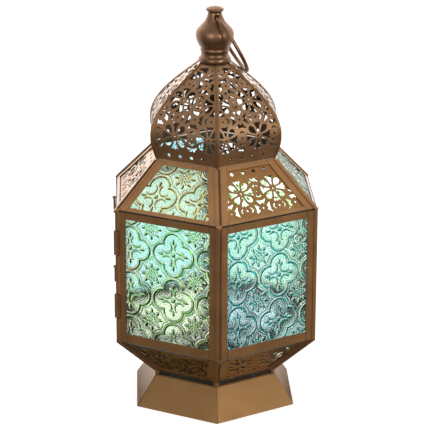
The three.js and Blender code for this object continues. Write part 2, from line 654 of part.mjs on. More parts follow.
function addDome() {
  const wall = new Wall(domeProfile());
  const rows = wall.v.map((v) => () => v);
  const rim = GAP / 2 / COS_HALF;
  const rings = wall.v.map((v) => [[-1, 0], [1, 0], [1, -SHEET], [-1, -SHEET]].map(([hand, d]) =>
    wall.place(hand * (wall.halfWidth(v, d) - rim), v, d)));
  const flat = [[-1, 0], [1, 0], [1, -1], [-1, -1]].map(([x, y]) => new THREE.Vector2(x, y));
  const shell = loft(rings, flat);
  const rib = seamStrip(wall, rows, { width: RIB_WIDTH, rise: RIB_RISE, sink: BEAD_SINK, foot: GAP });
  SIDES.forEach((name, side) => {
    const u0 = side % 2 ? -DOME_FRET_SHIFT : DOME_FRET_SHIFT;
    const lattice = { u0, v0: DOME_ROW, low: DOME_BAND, high: wall.length - RIB_WIDTH, stile: RIB_WIDTH };
    const dots = borderDots(wall, BORDER_DOT_INSET, RIB_WIDTH, LOBE_DOT);
    const holes = [...fretHoles(wall, lattice), ...dots];
    add(sectors[side], `dome_lobe_${name}`, join([pierced(wall, shell, holes, -2 * SHEET, SHEET), rib]), bronze);
  });
}

// Finial and ring: a hollow bulb on a collar, both plainer inside, a cap, and a wire ring through the neck
function addFinial() {
  const last = (outline) => outline.length - 1;
  const inner = (outline) => outline.filter((_, i) => i % 2 === 0 || i === last(outline))
    .map(([r, h]) => [r - FINIAL_WALL, h]).reverse();
  const shell = (outline, z) => turned([...outline, ...inner(outline)], z, FINIAL_SIDES);
  add(lantern, 'finial_collar', shell(COLLAR_OUTLINE, COLLAR_Z), bronze);
  const bulb = shell(BULB_OUTLINE, BULB_Z);
  const holeZ = BULB_Z + RING_HOLE_HEIGHT;
  const hole = rod(RING_HOLE, 4 * RING_RADIUS).rotateX(Math.PI / 2).rotateZ(RING_TURN).translate(0, 0, holeZ);
  add(lantern, 'finial_bulb', cut(bulb, [hole]), bronze);
  const cap = [[0, 0], ...CAP_OUTLINE, [0, CAP_TIP]];
  add(lantern, 'finial_cap', turned(cap, CAP_Z, FINIAL_SIDES), bronze);
  const swing = new THREE.Group();
  swing.position.z = holeZ;
  swing.rotation.set(0, -RING_LEAN, RING_TURN, 'ZYX');
  lantern.add(swing);
  const ring = new THREE.TorusGeometry(RING_RADIUS, RING_WIRE, RING_SIDES, RING_STEPS).rotateY(Math.PI / 2)
    .translate(0, 0, RING_HOLE_OFFSET - RING_RADIUS);
  add(swing, 'hanging_ring', ring, bronze);
}

addBase();
addTaper();
addBody();
addHinges();
addCatches();
addShoulder();
addDome();
addFinial();

export default lantern;
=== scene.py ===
"""Looks of a hexagonal Moroccan lantern: pressed glass, fretwork, turned finial, finishes, lights, camera."""
import json
import math

import bpy
import numpy as np
from mathutils import Matrix, Vector
from mathutils.geometry import delaunay_2d_cdt

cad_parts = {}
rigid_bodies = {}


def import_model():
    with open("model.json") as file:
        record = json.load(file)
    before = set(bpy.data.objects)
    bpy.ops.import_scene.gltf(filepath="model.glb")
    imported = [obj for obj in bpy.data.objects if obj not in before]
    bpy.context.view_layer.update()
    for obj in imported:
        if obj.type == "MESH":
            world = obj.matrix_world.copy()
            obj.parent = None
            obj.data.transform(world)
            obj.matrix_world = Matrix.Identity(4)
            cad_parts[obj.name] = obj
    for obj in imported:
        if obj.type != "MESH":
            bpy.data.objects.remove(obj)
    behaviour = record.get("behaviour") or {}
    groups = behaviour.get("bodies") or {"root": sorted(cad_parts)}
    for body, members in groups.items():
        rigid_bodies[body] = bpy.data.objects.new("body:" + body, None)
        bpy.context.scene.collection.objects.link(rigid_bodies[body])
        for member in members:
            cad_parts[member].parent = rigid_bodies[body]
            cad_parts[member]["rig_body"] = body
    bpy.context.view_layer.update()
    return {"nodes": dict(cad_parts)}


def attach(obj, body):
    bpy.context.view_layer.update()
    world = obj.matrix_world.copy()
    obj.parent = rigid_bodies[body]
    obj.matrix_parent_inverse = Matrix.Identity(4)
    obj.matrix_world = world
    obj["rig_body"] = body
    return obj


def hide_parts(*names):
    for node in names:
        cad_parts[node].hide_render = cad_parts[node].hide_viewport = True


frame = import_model()
nodes = frame["nodes"]

# The part's own sizes, in millimetres
MM = 0.001
SKIRT_HEIGHT = 30.1
SKIRT_FOOT_RADIUS = 91.1
WAIST_RADIUS = 69.2
RECESS_HEIGHT = 5
TAPER_HEIGHT = 39.5
BODY_HEIGHT = 136.4
BODY_RADIUS = 112.3
EAVE_OVERHANG = 0.7
SHOULDER_HEIGHT = 45.3
CROWN_RADIUS = 66.5
DOME_HEIGHT = 87.6
DOME_FLARE = 4.5
DOME_FLARE_HEIGHT = 11.4
BELLY_RADIUS = 72.5
BELLY_HEIGHT = 24
BELLY_PULL_DOWN = 9
BELLY_PULL_UP = 23.5
DOME_TOP_RADIUS = 17
DOME_TOP_PULL_OUT = 25
DOME_TOP_PULL_DOWN = 19.6
GAP = 0.3
SHEET = 1
LIP = 0.8
FRAME_STILE = 10.2
GLASS_LAP = 2.2
GLASS_THICKNESS = 2
FRET_THICKNESS = 0.8
BODY_RAIL_LOW = 10
BODY_RAIL_HIGH = 7.6
SHOULDER_RAIL = 5.4
TAPER_RAIL = 5.4
BEAD_RISE = 1.2
RIB_WIDTH = 2.6
RIB_RISE = 0.8
CUP_BORE = 20.5
CUP_WALL = 1.2
CUP_HEIGHT = 14
CUP_FOOT_ROUND = 1
CUP_LIP_WIDTH = 0.5
CUP_LIP_OUTSIDE = 0.4
CUP_LIP_INSIDE = 0.3
COLLAR_HEIGHT = 10.2
BULB_HEIGHT = 38.9
FINIAL_WALL = 1.4
RING_RADIUS = 31.6
RING_WIRE = 1.85
RING_HOLE = 2.9
RING_HOLE_HEIGHT = 34.8
RING_HOLE_OFFSET = 0.6
LIP_WIRE = 0.5
SLEEVE_RADIUS = 13.1
SLEEVE_WALL = 0.8
SLEEVE_DROP = 3
SLEEVE_RISE = 0.6
RING_LEAN = math.radians(29.4)
RING_TURN = math.radians(12)

# Levels and sides
FLOOR_Z = SKIRT_HEIGHT + GAP
TAPER_Z = SKIRT_HEIGHT + RECESS_HEIGHT
BODY_Z = TAPER_Z + TAPER_HEIGHT
SHOULDER_Z = BODY_Z + BODY_HEIGHT
CROWN_Z = SHOULDER_Z + SHOULDER_HEIGHT
DOME_Z = CROWN_Z + GAP
COLLAR_Z = DOME_Z + DOME_HEIGHT + GAP
BULB_Z = COLLAR_Z + COLLAR_HEIGHT + GAP
CAP_Z = BULB_Z + BULB_HEIGHT + GAP
SIDES = ("front_right", "right", "rear_right", "rear_left", "left", "front_left")
TURN = 2 * math.pi / len(SIDES)
COS_HALF = math.cos(TURN / 2)
TAN_HALF = math.tan(TURN / 2)
DOOR_SIDE = 4
FRET_SIDES = (0, 2, 4)

# What the frames hold: how far its front lies behind theirs, and the pierced sheets' plain edge
SHEET_FRONT = -LIP - GAP
SHEET_EDGE = 0.8

# Fretwork, about one daisy or one medallion
FRET_PITCH = 36.8
PETAL_START = 3.5
PETAL_REACH = 13.8
PETAL_HALF_WIDTH = 3.1
DAISY_EYE = 1.3
TULIP_NECK = ((3.6, 0), (3.9, 0.8), (5.5, 1.25), (7.5, 1.75), (9.5, 2.45), (11.4, 3.3), (12.9, 4.2))
TULIP_LOBE = ((12.9, 4.2), (13.5, 3.3), (13.2, 2.2), (12.4, 1.5))
TULIP_TIP = ((12.4, 1.5), (13.4, 1), (13.8, 0))
WING_INNER = ((10.2, 0), (10, 2), (9.5, 4), (8.7, 6))
WING_OUTER = ((8.7, 6), (10.5, 5), (12, 3.7), (13.4, 3), (14.2, 1.9), (13.9, 1.1), (13, 0.5), (12.9, 0))
CHEVRON = ((7.6, 0), (5.4, 3.3), (4, 2.4), (5.8, 0), (4, -2.4), (5.4, -3.3))
MEDALLION_EYE = 1.15
CELL_EYE = 1.15
BORDER_DOT = 1.9
BORDER_DOT_PITCH = 12.3
BORDER_DOT_INSET = 6.1
SMALLEST_HOLE = 1.2
SHORTEST_EDGE = 0.02

# Where the fretwork lies on the shoulder, the foot and the dome
SHOULDER_ROW = 30.6
SHOULDER_BAND = 14
SHOULDER_DOT_INSET = 8.9
SHOULDER_DOT_SHIFT = -1.3
TAPER_ROW = 27
DOME_ROW = 27.5
DOME_SHIFT = 10.5
DOME_BAND = 11
DOME_TOP_BAND = 3
DOME_HOLE_REST = 0.4
DOME_DOT_REST = 0.6
DOME_STEPS = 24
DOME_EDGE_ROWS = 40
ROW_SPACING = 2.6
RIB_ROWS = 60
RIB_SECTION_POINTS = 9
RIB_LIFT = 0.05

# Lines of shade on the frames
EAVE_SLOT = 0.7
EAVE_WIDTH = 1.2
EAVE_INSET = 3
STRIP_SUNK = -0.3
STRIP_PROUD = 0.05
EDGE_REST = 0.5
JOINT_LINE = 0.35
SEAM_LINE = 0.5
FOLD_REST = 2
FOLD_CENTRE = 1.2
FOLD_WIDTH = 2.4

# Pressed glass: the quatrefoil lattice and its ridges
GLASS_PITCH_U = 47.9
GLASS_PITCH_V = 46.6
FOIL_CENTRE = 11.4
FOIL_RADIUS = 11.3
FOIL_RIDGE = -0.8
FOIL_RISE = 0.7
FOIL_REACH = 1.5
OUTER_LINE = 3.2
OUTER_LINE_REACH = 0.9
OUTER_LINE_SHARE = 0.55
FLOWER_RISE = 0.65
FLOWER_EYE = 1.6
FLOWER_LEAF = (9.9, 16.8, 3.8)
SCROLL_CENTRE = 10.3
SCROLL_RADIUS = 5.6
SCROLL_REACH = 0.9
SCROLL_END = 1.2
ROSETTE_RISE = 0.7
ROSETTE_EYE = 1.4
ROSETTE_LEAF = (6, 11.6, 4)
ROSETTE_SMALL_LEAF = (4.2, 8, 2)
ROSETTE_INNER_LEAF = (1.8, 5.2, 2.2)
ROSETTE_LOW_SHARE = 0.8
RIPPLE = 2.1
FOIL_GROUND = 0.5
RELIEF_FADE = 0.6
# The step towards the lower right along which painted light falls on the glass relief: flanks facing this way
# get painted shade, flanks facing back a painted highlight
PAINTED_LIGHT_OFFSET = (0.7, -0.9)
GLASS_STEP = 0.45

# How bright floor and backdrop are for light and reflections, in front of the object and behind it
FLOOR_FRONT = 0.03
FLOOR_BACK = 0.8
FLOOR_REACH = 0.35
WORLD_FRONT = 0.37
WORLD_BACK = 0.8
WORLD_REACH = 1
FLOOR_MIRRORED = 1.3
WORLD_MIRRORED = 2.4
THROUGH_GLASS = 1.9
FLOOR_SIZE = 6

# Camera at the photograph's viewing angle, in metres and degrees, and the point that it and the lamps aim at
FRAME_PIXELS = 430
FOCAL_PIXELS = 1891.6
SENSOR_WIDTH = 36
CAMERA_AZIMUTH = -2.3
CAMERA_ELEVATION = 17.956
CAMERA_ROLL = 0.206
CAMERA_DISTANCE = 1.8898
CAMERA_SHIFT = (0.0017, -0.0287)
AIM = Vector((0, 0, 0.2))

# Paint: the scales of its blotches, metal flake and patches of gloss, and how far and how strongly painted
# shade reaches from a corner
BLOTCH_SCALE = 38
FLAKE_SCALE = 1400
GLOSS_SCALE = 160
CORNER_SHADE_REACH = 0.004
CORNER_SHADE_SHARE = 0.85
GLOSS_SPREAD = (-0.07, 0.08)
GRAIN_DEPTH = 0.0002

# Glass: its fine grain, the clouds of a second colour, and how much of the flanks with a painted highlight
# scatters light
STIPPLE_SCALE = 820
STAIN_SCALE = 17
RIPPLE_SHARE = 0.18
GLASS_ROUGHNESS = 0.04
GLASS_IOR = 1.5
GLASS_GRAIN_DEPTH = 0.0004
BUMP_STRENGTH = 0.2
FROST_SHARE = (0.03, 0.5)

# Meshes
SHARP_ANGLE = 35
GLASS_SHARP_ANGLE = 60
HOLE_SIDES = 32
ROD_REACH = 30
LIP_SIDES = 10


class Wall:
    """One wall in its own sector, where it faces -Y: u runs to the right seen from outside, v climbs the wall
    and d stands out from it. The profile lists corner radii and heights."""

    def __init__(self, profile):
        corners = np.array(profile, float)
        self.out = corners[:, 0] * COS_HALF
        self.z = corners[:, 1]
        steps = np.column_stack([np.diff(self.out), np.diff(self.z)])
        lengths = np.linalg.norm(steps, axis=1)
        self.v = np.concatenate([[0], np.cumsum(lengths)])
        self.length = self.v[-1]
        unit = steps / lengths[:, None]
        slope = np.vstack([unit[:1], unit[:-1] + unit[1:], unit[-1:]])
        self.slope = slope / np.linalg.norm(slope, axis=1)[:, None]

    def at(self, v):
        rise, climb = (np.interp(v, self.v, self.slope[:, i]) for i in (0, 1))
        return np.interp(v, self.v, self.out), np.interp(v, self.v, self.z), rise, climb

    def place(self, u, v, d):
        out, z, rise, climb = self.at(v)
        return np.stack(np.broadcast_arrays(u, -(out + d * climb), z - d * rise), axis=-1)

    def half_width(self, v, d=0.0):
        out, _, _, climb = self.at(v)
        return (out + d * climb) * TAN_HALF

    def inside_half(self, v, margin):
        """Half the width inside a margin that is measured square to the corner lines."""
        return self.half_width(v) - margin * np.hypot(1, self.at(v)[2] * TAN_HALF)


def turned_to(points, side):
    """Points of a sector, turned to their side about the vertical axis."""
    angle = TURN * (side + 0.5)
    turn = np.array(Matrix.Rotation(angle, 3, "Z"))
    return np.asarray(points, float) @ turn.T


def piece(name, points, faces, material, body="root", stands_for=(), sharp=SHARP_ANGLE):
    """A mesh object from points in millimetres, that rides on a body and stands for CAD nodes."""
    mesh = bpy.data.meshes.new(name)
    mesh.from_pydata((np.asarray(points, float) * MM).tolist(), [], [list(map(int, f)) for f in faces])
    mesh.update()
    mesh.shade_smooth()
    mesh.set_sharp_from_angle(angle=math.radians(sharp))
    mesh.materials.append(material)
    made = bpy.data.objects.new(name, mesh)
    bpy.context.scene.collection.objects.link(made)
    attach(made, body)
    if stands_for:
        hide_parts(*stands_for)
    return made


# Node helpers
def node(tree, kind, inputs=None, **settings):
    made = tree.nodes.new(kind)
    for key, value in settings.items():
        setattr(made, key, value)
    for key, value in (inputs or {}).items():
        if isinstance(value, bpy.types.NodeSocket):
            tree.links.new(value, made.inputs[key])
        else:
            made.inputs[key].default_value = value
    return made


def new_material(name):
    material = bpy.data.materials.new(name)
    material.use_nodes = True
    tree = material.node_tree
    tree.nodes.clear()
    return material, tree


def srgb(red, green, blue):
    """A colour given as 0 to 255, as linear light."""
    def one(value):
        share = value / 255
        return share / 12.92 if share <= 0.04045 else ((share + 0.055) / 1.055) ** 2.4
    return (one(red), one(green), one(blue), 1)


def ramp(tree, factor, stops):
    made = node(tree, "ShaderNodeValToRGB", {"Fac": factor})
    elements = made.color_ramp.elements
    while len(elements) < len(stops):
        elements.new(0.5)
    for element, (place, colour) in zip(elements, stops):
        element.position = place
        element.color = colour if len(colour) == 4 else (*colour, 1)
    return made.outputs["Color"]


def grey(value):
    return (value, value, value, 1)


def mixed(tree, kind, factor, first, second):
    made = node(tree, "ShaderNodeMix", data_type="RGBA", blend_type=kind)
    for socket, value in ((made.inputs[0], factor), (made.inputs[6], first), (made.inputs[7], second)):
        if isinstance(value, bpy.types.NodeSocket):
            tree.links.new(value, socket)
        else:
            socket.default_value = value
    return made.outputs[2]


def bronze(name, deep, pale, roughness=0.42, metallic=0.5, speck=0.5, coat=0.8, inside=1.0):
    """Bronze spray paint under a clear coat: soft blotches, metal flake and painted shade in the corners.
    Faces that look in towards the lantern's axis get painted shade too, darkened to the inside share."""
    material, tree = new_material(name)
    where = node(tree, "ShaderNodeTexCoord")
    place = where.outputs["Object"]
    blotch = node(tree, "ShaderNodeTexNoise", {"Vector": place, "Scale": BLOTCH_SCALE, "Detail": 5})
    colour = ramp(tree, blotch.outputs["Fac"], ((0.3, deep), (0.7, pale)))
    flake = node(tree, "ShaderNodeTexNoise", {
        "Vector": place, "Scale": FLAKE_SCALE, "Detail": 2, "Roughness": 0.7})
    flakes = ramp(tree, flake.outputs["Fac"], ((0.33, grey(0.72)), (0.5, grey(1)), (0.7, grey(1.45))))
    colour = mixed(tree, "MULTIPLY", speck, colour, flakes)
    # Painted shade: ambient occlusion darkens the colour in corners, creases and between parts
    corner = node(tree, "ShaderNodeAmbientOcclusion", {"Distance": CORNER_SHADE_REACH}, samples=8)
    corner_shade = ramp(tree, corner.outputs["AO"], ((0.3, grey(0.16)), (0.85, grey(1))))
    colour = mixed(tree, "MULTIPLY", CORNER_SHADE_SHARE, colour, corner_shade)
    # Painted shade: faces that look in towards the axis are darkened, for the lantern's dim inside
    if inside < 1:
        level = node(tree, "ShaderNodeVectorMath", {0: place, 1: (1, 1, 0)}, operation="MULTIPLY")
        away = node(tree, "ShaderNodeVectorMath", {0: level.outputs["Vector"]}, operation="NORMALIZE")
        facing = node(tree, "ShaderNodeVectorMath", {0: where.outputs["Normal"], 1: away.outputs["Vector"]},
                      operation="DOT_PRODUCT").outputs["Value"]
        facing = node(tree, "ShaderNodeMath", {0: facing, 1: 1.0}, operation="ADD").outputs[0]
        shade = ramp(tree, facing, ((0.6, grey(inside)), (0.9, grey(1))))
        colour = mixed(tree, "MULTIPLY", 1.0, colour, shade)
    sheen = node(tree, "ShaderNodeTexNoise", {"Vector": place, "Scale": GLOSS_SCALE, "Detail": 3})
    rough = node(tree, "ShaderNodeMapRange", {
        "Value": sheen.outputs["Fac"], "From Min": 0.3, "From Max": 0.7,
        "To Min": roughness + GLOSS_SPREAD[0], "To Max": roughness + GLOSS_SPREAD[1]})
    grain = node(tree, "ShaderNodeBump", {
        "Strength": BUMP_STRENGTH, "Distance": GRAIN_DEPTH, "Height": flake.outputs["Fac"]})
    shader = node(tree, "ShaderNodeBsdfPrincipled", {
        "Base Color": colour, "Metallic": metallic, "Roughness": rough.outputs["Result"],
        "Coat Weight": coat, "Coat Roughness": 0.2, "Normal": grain.outputs["Normal"]})
    out = node(tree, "ShaderNodeOutputMaterial")
    tree.links.new(shader.outputs["BSDF"], out.inputs["Surface"])
    return material


def pressed_glass(name, pale, shade, deep, edge, stain=None, glint=(1, 1, 1, 1)):
    """Tinted pressed glass: a nearly clear, rippled ground, colour that lies thick along the relief, painted
    shade on the flank of each line that faces the lower right and a painted highlight on the flank that faces
    the upper left."""
    material, tree = new_material(name)
    place = node(tree, "ShaderNodeTexCoord").outputs["Object"]
    line = node(tree, "ShaderNodeAttribute", attribute_name="line").outputs["Fac"]
    painted_shading = node(tree, "ShaderNodeAttribute", attribute_name="painted_shading").outputs["Fac"]
    ripple = node(tree, "ShaderNodeAttribute", attribute_name="ripple").outputs["Fac"]
    stipple = node(tree, "ShaderNodeTexNoise", {
        "Vector": place, "Scale": STIPPLE_SCALE, "Detail": 2, "Roughness": 0.6})
    grain = node(tree, "ShaderNodeMath", {0: ripple, 1: RIPPLE_SHARE, 2: stipple.outputs["Fac"]},
                 operation="MULTIPLY_ADD").outputs[0]
    ground = ramp(tree, grain, ((0.36, shade), (0.52, pale)))
    tint = ramp(tree, line, ((0.22, grey(0)), (0.55, grey(1))))
    if stain:
        cloud = node(tree, "ShaderNodeTexNoise", {"Vector": place, "Scale": STAIN_SCALE, "Detail": 1})
        stained = ramp(tree, cloud.outputs["Fac"], ((0.5, grey(0)), (0.64, grey(1))))
        deep = mixed(tree, "MIX", stained, deep, stain)
    colour = mixed(tree, "MIX", tint, ground, deep)
    # Painted shade: flanks that face the lower right take the near-black edge colour
    dark = ramp(tree, painted_shading, ((0.3, grey(0)), (0.55, grey(1))))
    colour = mixed(tree, "MIX", dark, colour, edge)
    # Painted highlight: flanks that face the upper left take the glint colour, and part of them scatters
    # light
    facing = node(tree, "ShaderNodeMath", {0: painted_shading, 1: -1.0}, operation="MULTIPLY").outputs[0]
    bright = ramp(tree, facing, ((0.35, grey(0)), (0.7, grey(1))))
    colour = mixed(tree, "MIX", bright, colour, glint)
    bump = node(tree, "ShaderNodeBump", {
        "Strength": BUMP_STRENGTH, "Distance": GLASS_GRAIN_DEPTH, "Height": grain})
    shader = node(tree, "ShaderNodeBsdfPrincipled", {
        "Base Color": colour, "Roughness": GLASS_ROUGHNESS, "IOR": GLASS_IOR, "Transmission Weight": 1,
        "Normal": bump.outputs["Normal"]})
    glow = node(tree, "ShaderNodeBsdfTranslucent", {"Color": colour, "Normal": bump.outputs["Normal"]})
    sheen = node(tree, "ShaderNodeBsdfDiffuse", {"Color": colour, "Normal": bump.outputs["Normal"]})
    frost = node(tree, "ShaderNodeMixShader", {0: 0.5, 1: glow.outputs["BSDF"], 2: sheen.outputs["BSDF"]})
    share = node(tree, "ShaderNodeMapRange", {
        "Value": bright, "To Min": FROST_SHARE[0], "To Max": FROST_SHARE[1]})
    body = node(tree, "ShaderNodeMixShader", {
        0: share.outputs["Result"], 1: shader.outputs["BSDF"], 2: frost.outputs["Shader"]})
    through = node(tree, "ShaderNodeBsdfTransparent", {"Color": colour})
    path = node(tree, "ShaderNodeLightPath")
    mix = node(tree, "ShaderNodeMixShader", {
        0: path.outputs["Is Shadow Ray"], 1: body.outputs["Shader"], 2: through.outputs["BSDF"]})
    out = node(tree, "ShaderNodeOutputMaterial")
    tree.links.new(mix.outputs["Shader"], out.inputs["Surface"])
    return material


# inside sets how dark the painted shade is on faces that look in towards the axis
paint = bronze("bronze_paint", srgb(157, 111, 67), srgb(175, 127, 79), inside=0.22)
# A lighter, more golden copy of the frame paint for the shoulder frames that tilt up: painted light
shoulder_lit_paint = bronze("shoulder_bronze", srgb(172, 121, 69), srgb(191, 138, 81), inside=0.22)
skirt_paint = bronze("skirt_bronze", srgb(153, 108, 54), srgb(167, 121, 63), speck=0.3, inside=0.3)
fret_paint = bronze("pierced_bronze", srgb(170, 120, 67), srgb(194, 142, 83), roughness=0.36, metallic=0.7,
                    speck=0.8, coat=0.5, inside=0.25)
dome_paint = bronze("dome_bronze", srgb(158, 117, 80), srgb(184, 141, 101), roughness=0.36, metallic=0.7,
                    speck=0.9, coat=0.5, inside=0.3)
rib_paint = bronze("rib_bronze", srgb(128, 90, 52), srgb(152, 110, 66), roughness=0.45, metallic=0.6,
                   coat=0.1)
finial_paint = bronze("finial_bronze", srgb(132, 96, 70), srgb(152, 113, 84), roughness=0.42, metallic=0.85,
                      coat=0.15)
shadow_gap = bronze("dark_gap", srgb(22, 14, 10), srgb(38, 26, 18), roughness=0.8, metallic=0, coat=0)
painted_fold_shade = bronze("fold_shade", srgb(84, 54, 28), srgb(98, 66, 36), roughness=0.6, metallic=0.3, coat=0.2)
hinge_paint = bronze("hinge_metal", srgb(140, 99, 60), srgb(158, 114, 71), roughness=0.5, metallic=0.5,
                     coat=0.6)
# Near-black paint on the floor plate: painted shade that keeps the lantern's inside dark
floor_shade_paint = bronze("floor_metal", srgb(44, 34, 22), srgb(60, 46, 30), roughness=0.7, metallic=0, coat=0)
cup_paint = bronze("cup_metal", srgb(120, 96, 66), srgb(150, 122, 84), roughness=0.4, metallic=0.8)
# For each glass: the pale and tinted ground, the colour along the relief, and the near-black colour of the
# painted shade on its lower-right flanks
GREEN = pressed_glass("green_glass", srgb(254, 255, 250), srgb(206, 240, 208), srgb(122, 222, 66),
                      srgb(10, 24, 2), stain=srgb(246, 170, 60))
TEAL = pressed_glass("teal_glass", srgb(226, 252, 254), srgb(152, 214, 222), srgb(0, 172, 184),
                     srgb(0, 24, 34))
YELLOW = pressed_glass("yellow_glass", srgb(255, 250, 228), srgb(252, 234, 190), srgb(250, 168, 24),
                       srgb(84, 46, 4))
# The amber glass's glint is the colour of its painted highlights
AMBER = pressed_glass("amber_glass", srgb(198, 178, 128), srgb(138, 120, 78), srgb(150, 92, 26),
                      srgb(20, 12, 4), glint=srgb(206, 150, 84))
STRAW = pressed_glass("straw_glass", srgb(242, 248, 238), srgb(214, 226, 206), srgb(150, 154, 84),
                      srgb(30, 30, 12))

# CAD nodes that keep their own mesh: finish and softened edges
FINISHES = (
    ("hinge_", hinge_paint, 0.15), ("catch_", hinge_paint, 0.2), ("base_skirt", skirt_paint, 0.25),
    ("floor_plate", floor_shade_paint, 0.2), ("taper_frame_", paint, 0.25), ("body_frame_", paint, 0.25),
    ("door_frame", paint, 0.25), ("shoulder_frame_", shoulder_lit_paint, 0.25),
)
for prefix, finish, rounding in FINISHES:
    for name, made in nodes.items():
        if name.startswith(prefix):
            made.data.materials.clear()
            made.data.materials.append(finish)
            soften = made.modifiers.new("soft edges", "BEVEL")
            soften.width = rounding * MM
            soften.segments = 2
            soften.limit_method = "ANGLE"
            soften.angle_limit = math.radians(30)
            soften.harden_normals = True


def body_of(name):
    return nodes[name]["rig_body"]


# Curves for the punched holes
def curve_through(points, steps=4):
    """A smooth line through points, with both ends kept."""
    control = np.array(points, float)
    padded = np.vstack([2 * control[0] - control[1], control, 2 * control[-1] - control[-2]])
    line = []
    for a, b, c, d in zip(padded, padded[1:], padded[2:], padded[3:]):
        for t in np.arange(steps) / steps:
            line.append(0.5 * (2 * b + (c - a) * t + (2 * a - 5 * b + 4 * c - d) * t**2
                               + (3 * b - 3 * c + d - a) * t**3))
    line.append(control[-1])
    return np.array(line)


def both_halves(upper):
    """A closed outline from its half above the axis, given from one end on the axis to the other."""
    lower = upper[-2:0:-1] * (1, -1)
    return np.vstack([upper, lower])


def petal_outline():
    t = 0.5 - 0.5 * np.cos(np.linspace(0, math.pi, 12))
    width = t**0.9 * (1 - t) ** 0.5
    x = PETAL_START + (PETAL_REACH - PETAL_START) * t
    return both_halves(np.column_stack([x, PETAL_HALF_WIDTH * width / width.max()]))


def tulip_outline():
    parts = [curve_through(part, 3) for part in (TULIP_NECK, TULIP_LOBE, TULIP_TIP)]
    return both_halves(np.vstack([parts[0], parts[1][1:], parts[2][1:]]))


def wing_outline():
    inner = curve_through(WING_INNER, 3)
    outer = curve_through(WING_OUTER, 3)
    return both_halves(np.vstack([inner, outer[1:]]))


def disc_outline(radius, count=14):
    angle = np.arange(count) * 2 * math.pi / count
    return radius * np.column_stack([np.cos(angle), np.sin(angle)])


PETAL = petal_outline()
TULIP = tulip_outline()
WING = wing_outline()


def moved(outline, angle, u, v):
    cosine, sine = math.cos(angle), math.sin(angle)
    turn = np.array([[cosine, sine], [-sine, cosine]])
    return np.asarray(outline, float) @ turn + (u, v)


def lattice_cell(u, v):
    """The holes of one daisy, of the medallions to its right and above, and the dot between the cells."""
    holes = [moved(disc_outline(DAISY_EYE), 0, u, v)]
    for quarter in range(4):
        angle = quarter * math.pi / 2
        holes += [moved(TULIP, angle, u, v), moved(PETAL, angle + math.pi / 4, u, v)]
    half = FRET_PITCH / 2
    for centre, angle in (((u + half, v), math.pi / 2), ((u, v + half), 0)):
        holes.append(moved(disc_outline(MEDALLION_EYE), 0, *centre))
        for side in (0, math.pi):
            holes += [moved(WING, angle + side, *centre), moved(CHEVRON, angle + side, *centre)]
    holes.append(moved(disc_outline(CELL_EYE), 0, u + half, v + half))
    return holes


def clipped(outline, axis, limit, keep_below):
    """The part of an outline on one side of a line."""
    kept = []
    sign = 1 if keep_below else -1
    for a, b in zip(outline, np.roll(outline, -1, axis=0)):
        inside_a = sign * (limit - a[axis]) >= 0
        inside_b = sign * (limit - b[axis]) >= 0
        if inside_a:
            kept.append(a)
        if inside_a != inside_b:
            kept.append(a + (b - a) * (limit - a[axis]) / (b[axis] - a[axis]))
    return np.array(kept)


def area_of(outline):
    """Area, positive where the outline runs anticlockwise."""
    x, y = outline[:, 0], outline[:, 1]
    return 0.5 * (np.dot(x, np.roll(y, -1)) - np.dot(y, np.roll(x, -1)))


def trimmed(wall, outline, margin, low, high):
    """The parts of a hole that lie inside the sheet's margins, without those too small to punch."""
    flat = np.column_stack([outline[:, 0] / wall.inside_half(outline[:, 1], margin), outline[:, 1]])
    for axis, limit, keep_below in ((0, 1, True), (0, -1, False), (1, high, True), (1, low, False)):
        if len(flat):
            flat = clipped(flat, axis, limit, keep_below)
    if len(flat) < 3:
        return []
    at_side = np.isclose(np.abs(flat[:, 0]), 1)
    cuts = np.flatnonzero(at_side & np.roll(at_side, -1)) + 1
    parts = [flat]
    if len(cuts) > 1:
        parts = np.split(np.roll(flat, -cuts[0], axis=0), cuts[1:] - cuts[0])
    left = []
    for part in parts:
        back = np.column_stack([part[:, 0] * wall.inside_half(part[:, 1], margin), part[:, 1]])
        back = back[np.linalg.norm(back - np.roll(back, 1, axis=0), axis=1) > SHORTEST_EDGE]
        if len(back) > 2 and abs(area_of(back)) > SMALLEST_HOLE:
            left.append(back)
    return left


def fret_holes(wall, u0, v0, margin, low, high, first):
    """The lattice's holes on a wall; those centred below first are left out."""
    reach = math.ceil(wall.length / FRET_PITCH) + 2
    holes = []
    for column in range(-reach, reach + 1):
        for row in range(-reach, reach + 1):
            holes += lattice_cell(u0 + column * FRET_PITCH, v0 + row * FRET_PITCH)
    return [part for hole in holes if first < hole[:, 1].mean() < high
            for part in trimmed(wall, hole, margin, low, high)]


def border_dots(wall, v, margin, shift=0.0):
    half = wall.inside_half(v, margin + BORDER_DOT)
    count = math.ceil(half / BORDER_DOT_PITCH) + 1
    places = (np.arange(-count, count) + 0.5) * BORDER_DOT_PITCH + shift
    return [moved(disc_outline(BORDER_DOT), 0, u, v) for u in places if abs(u) < half]


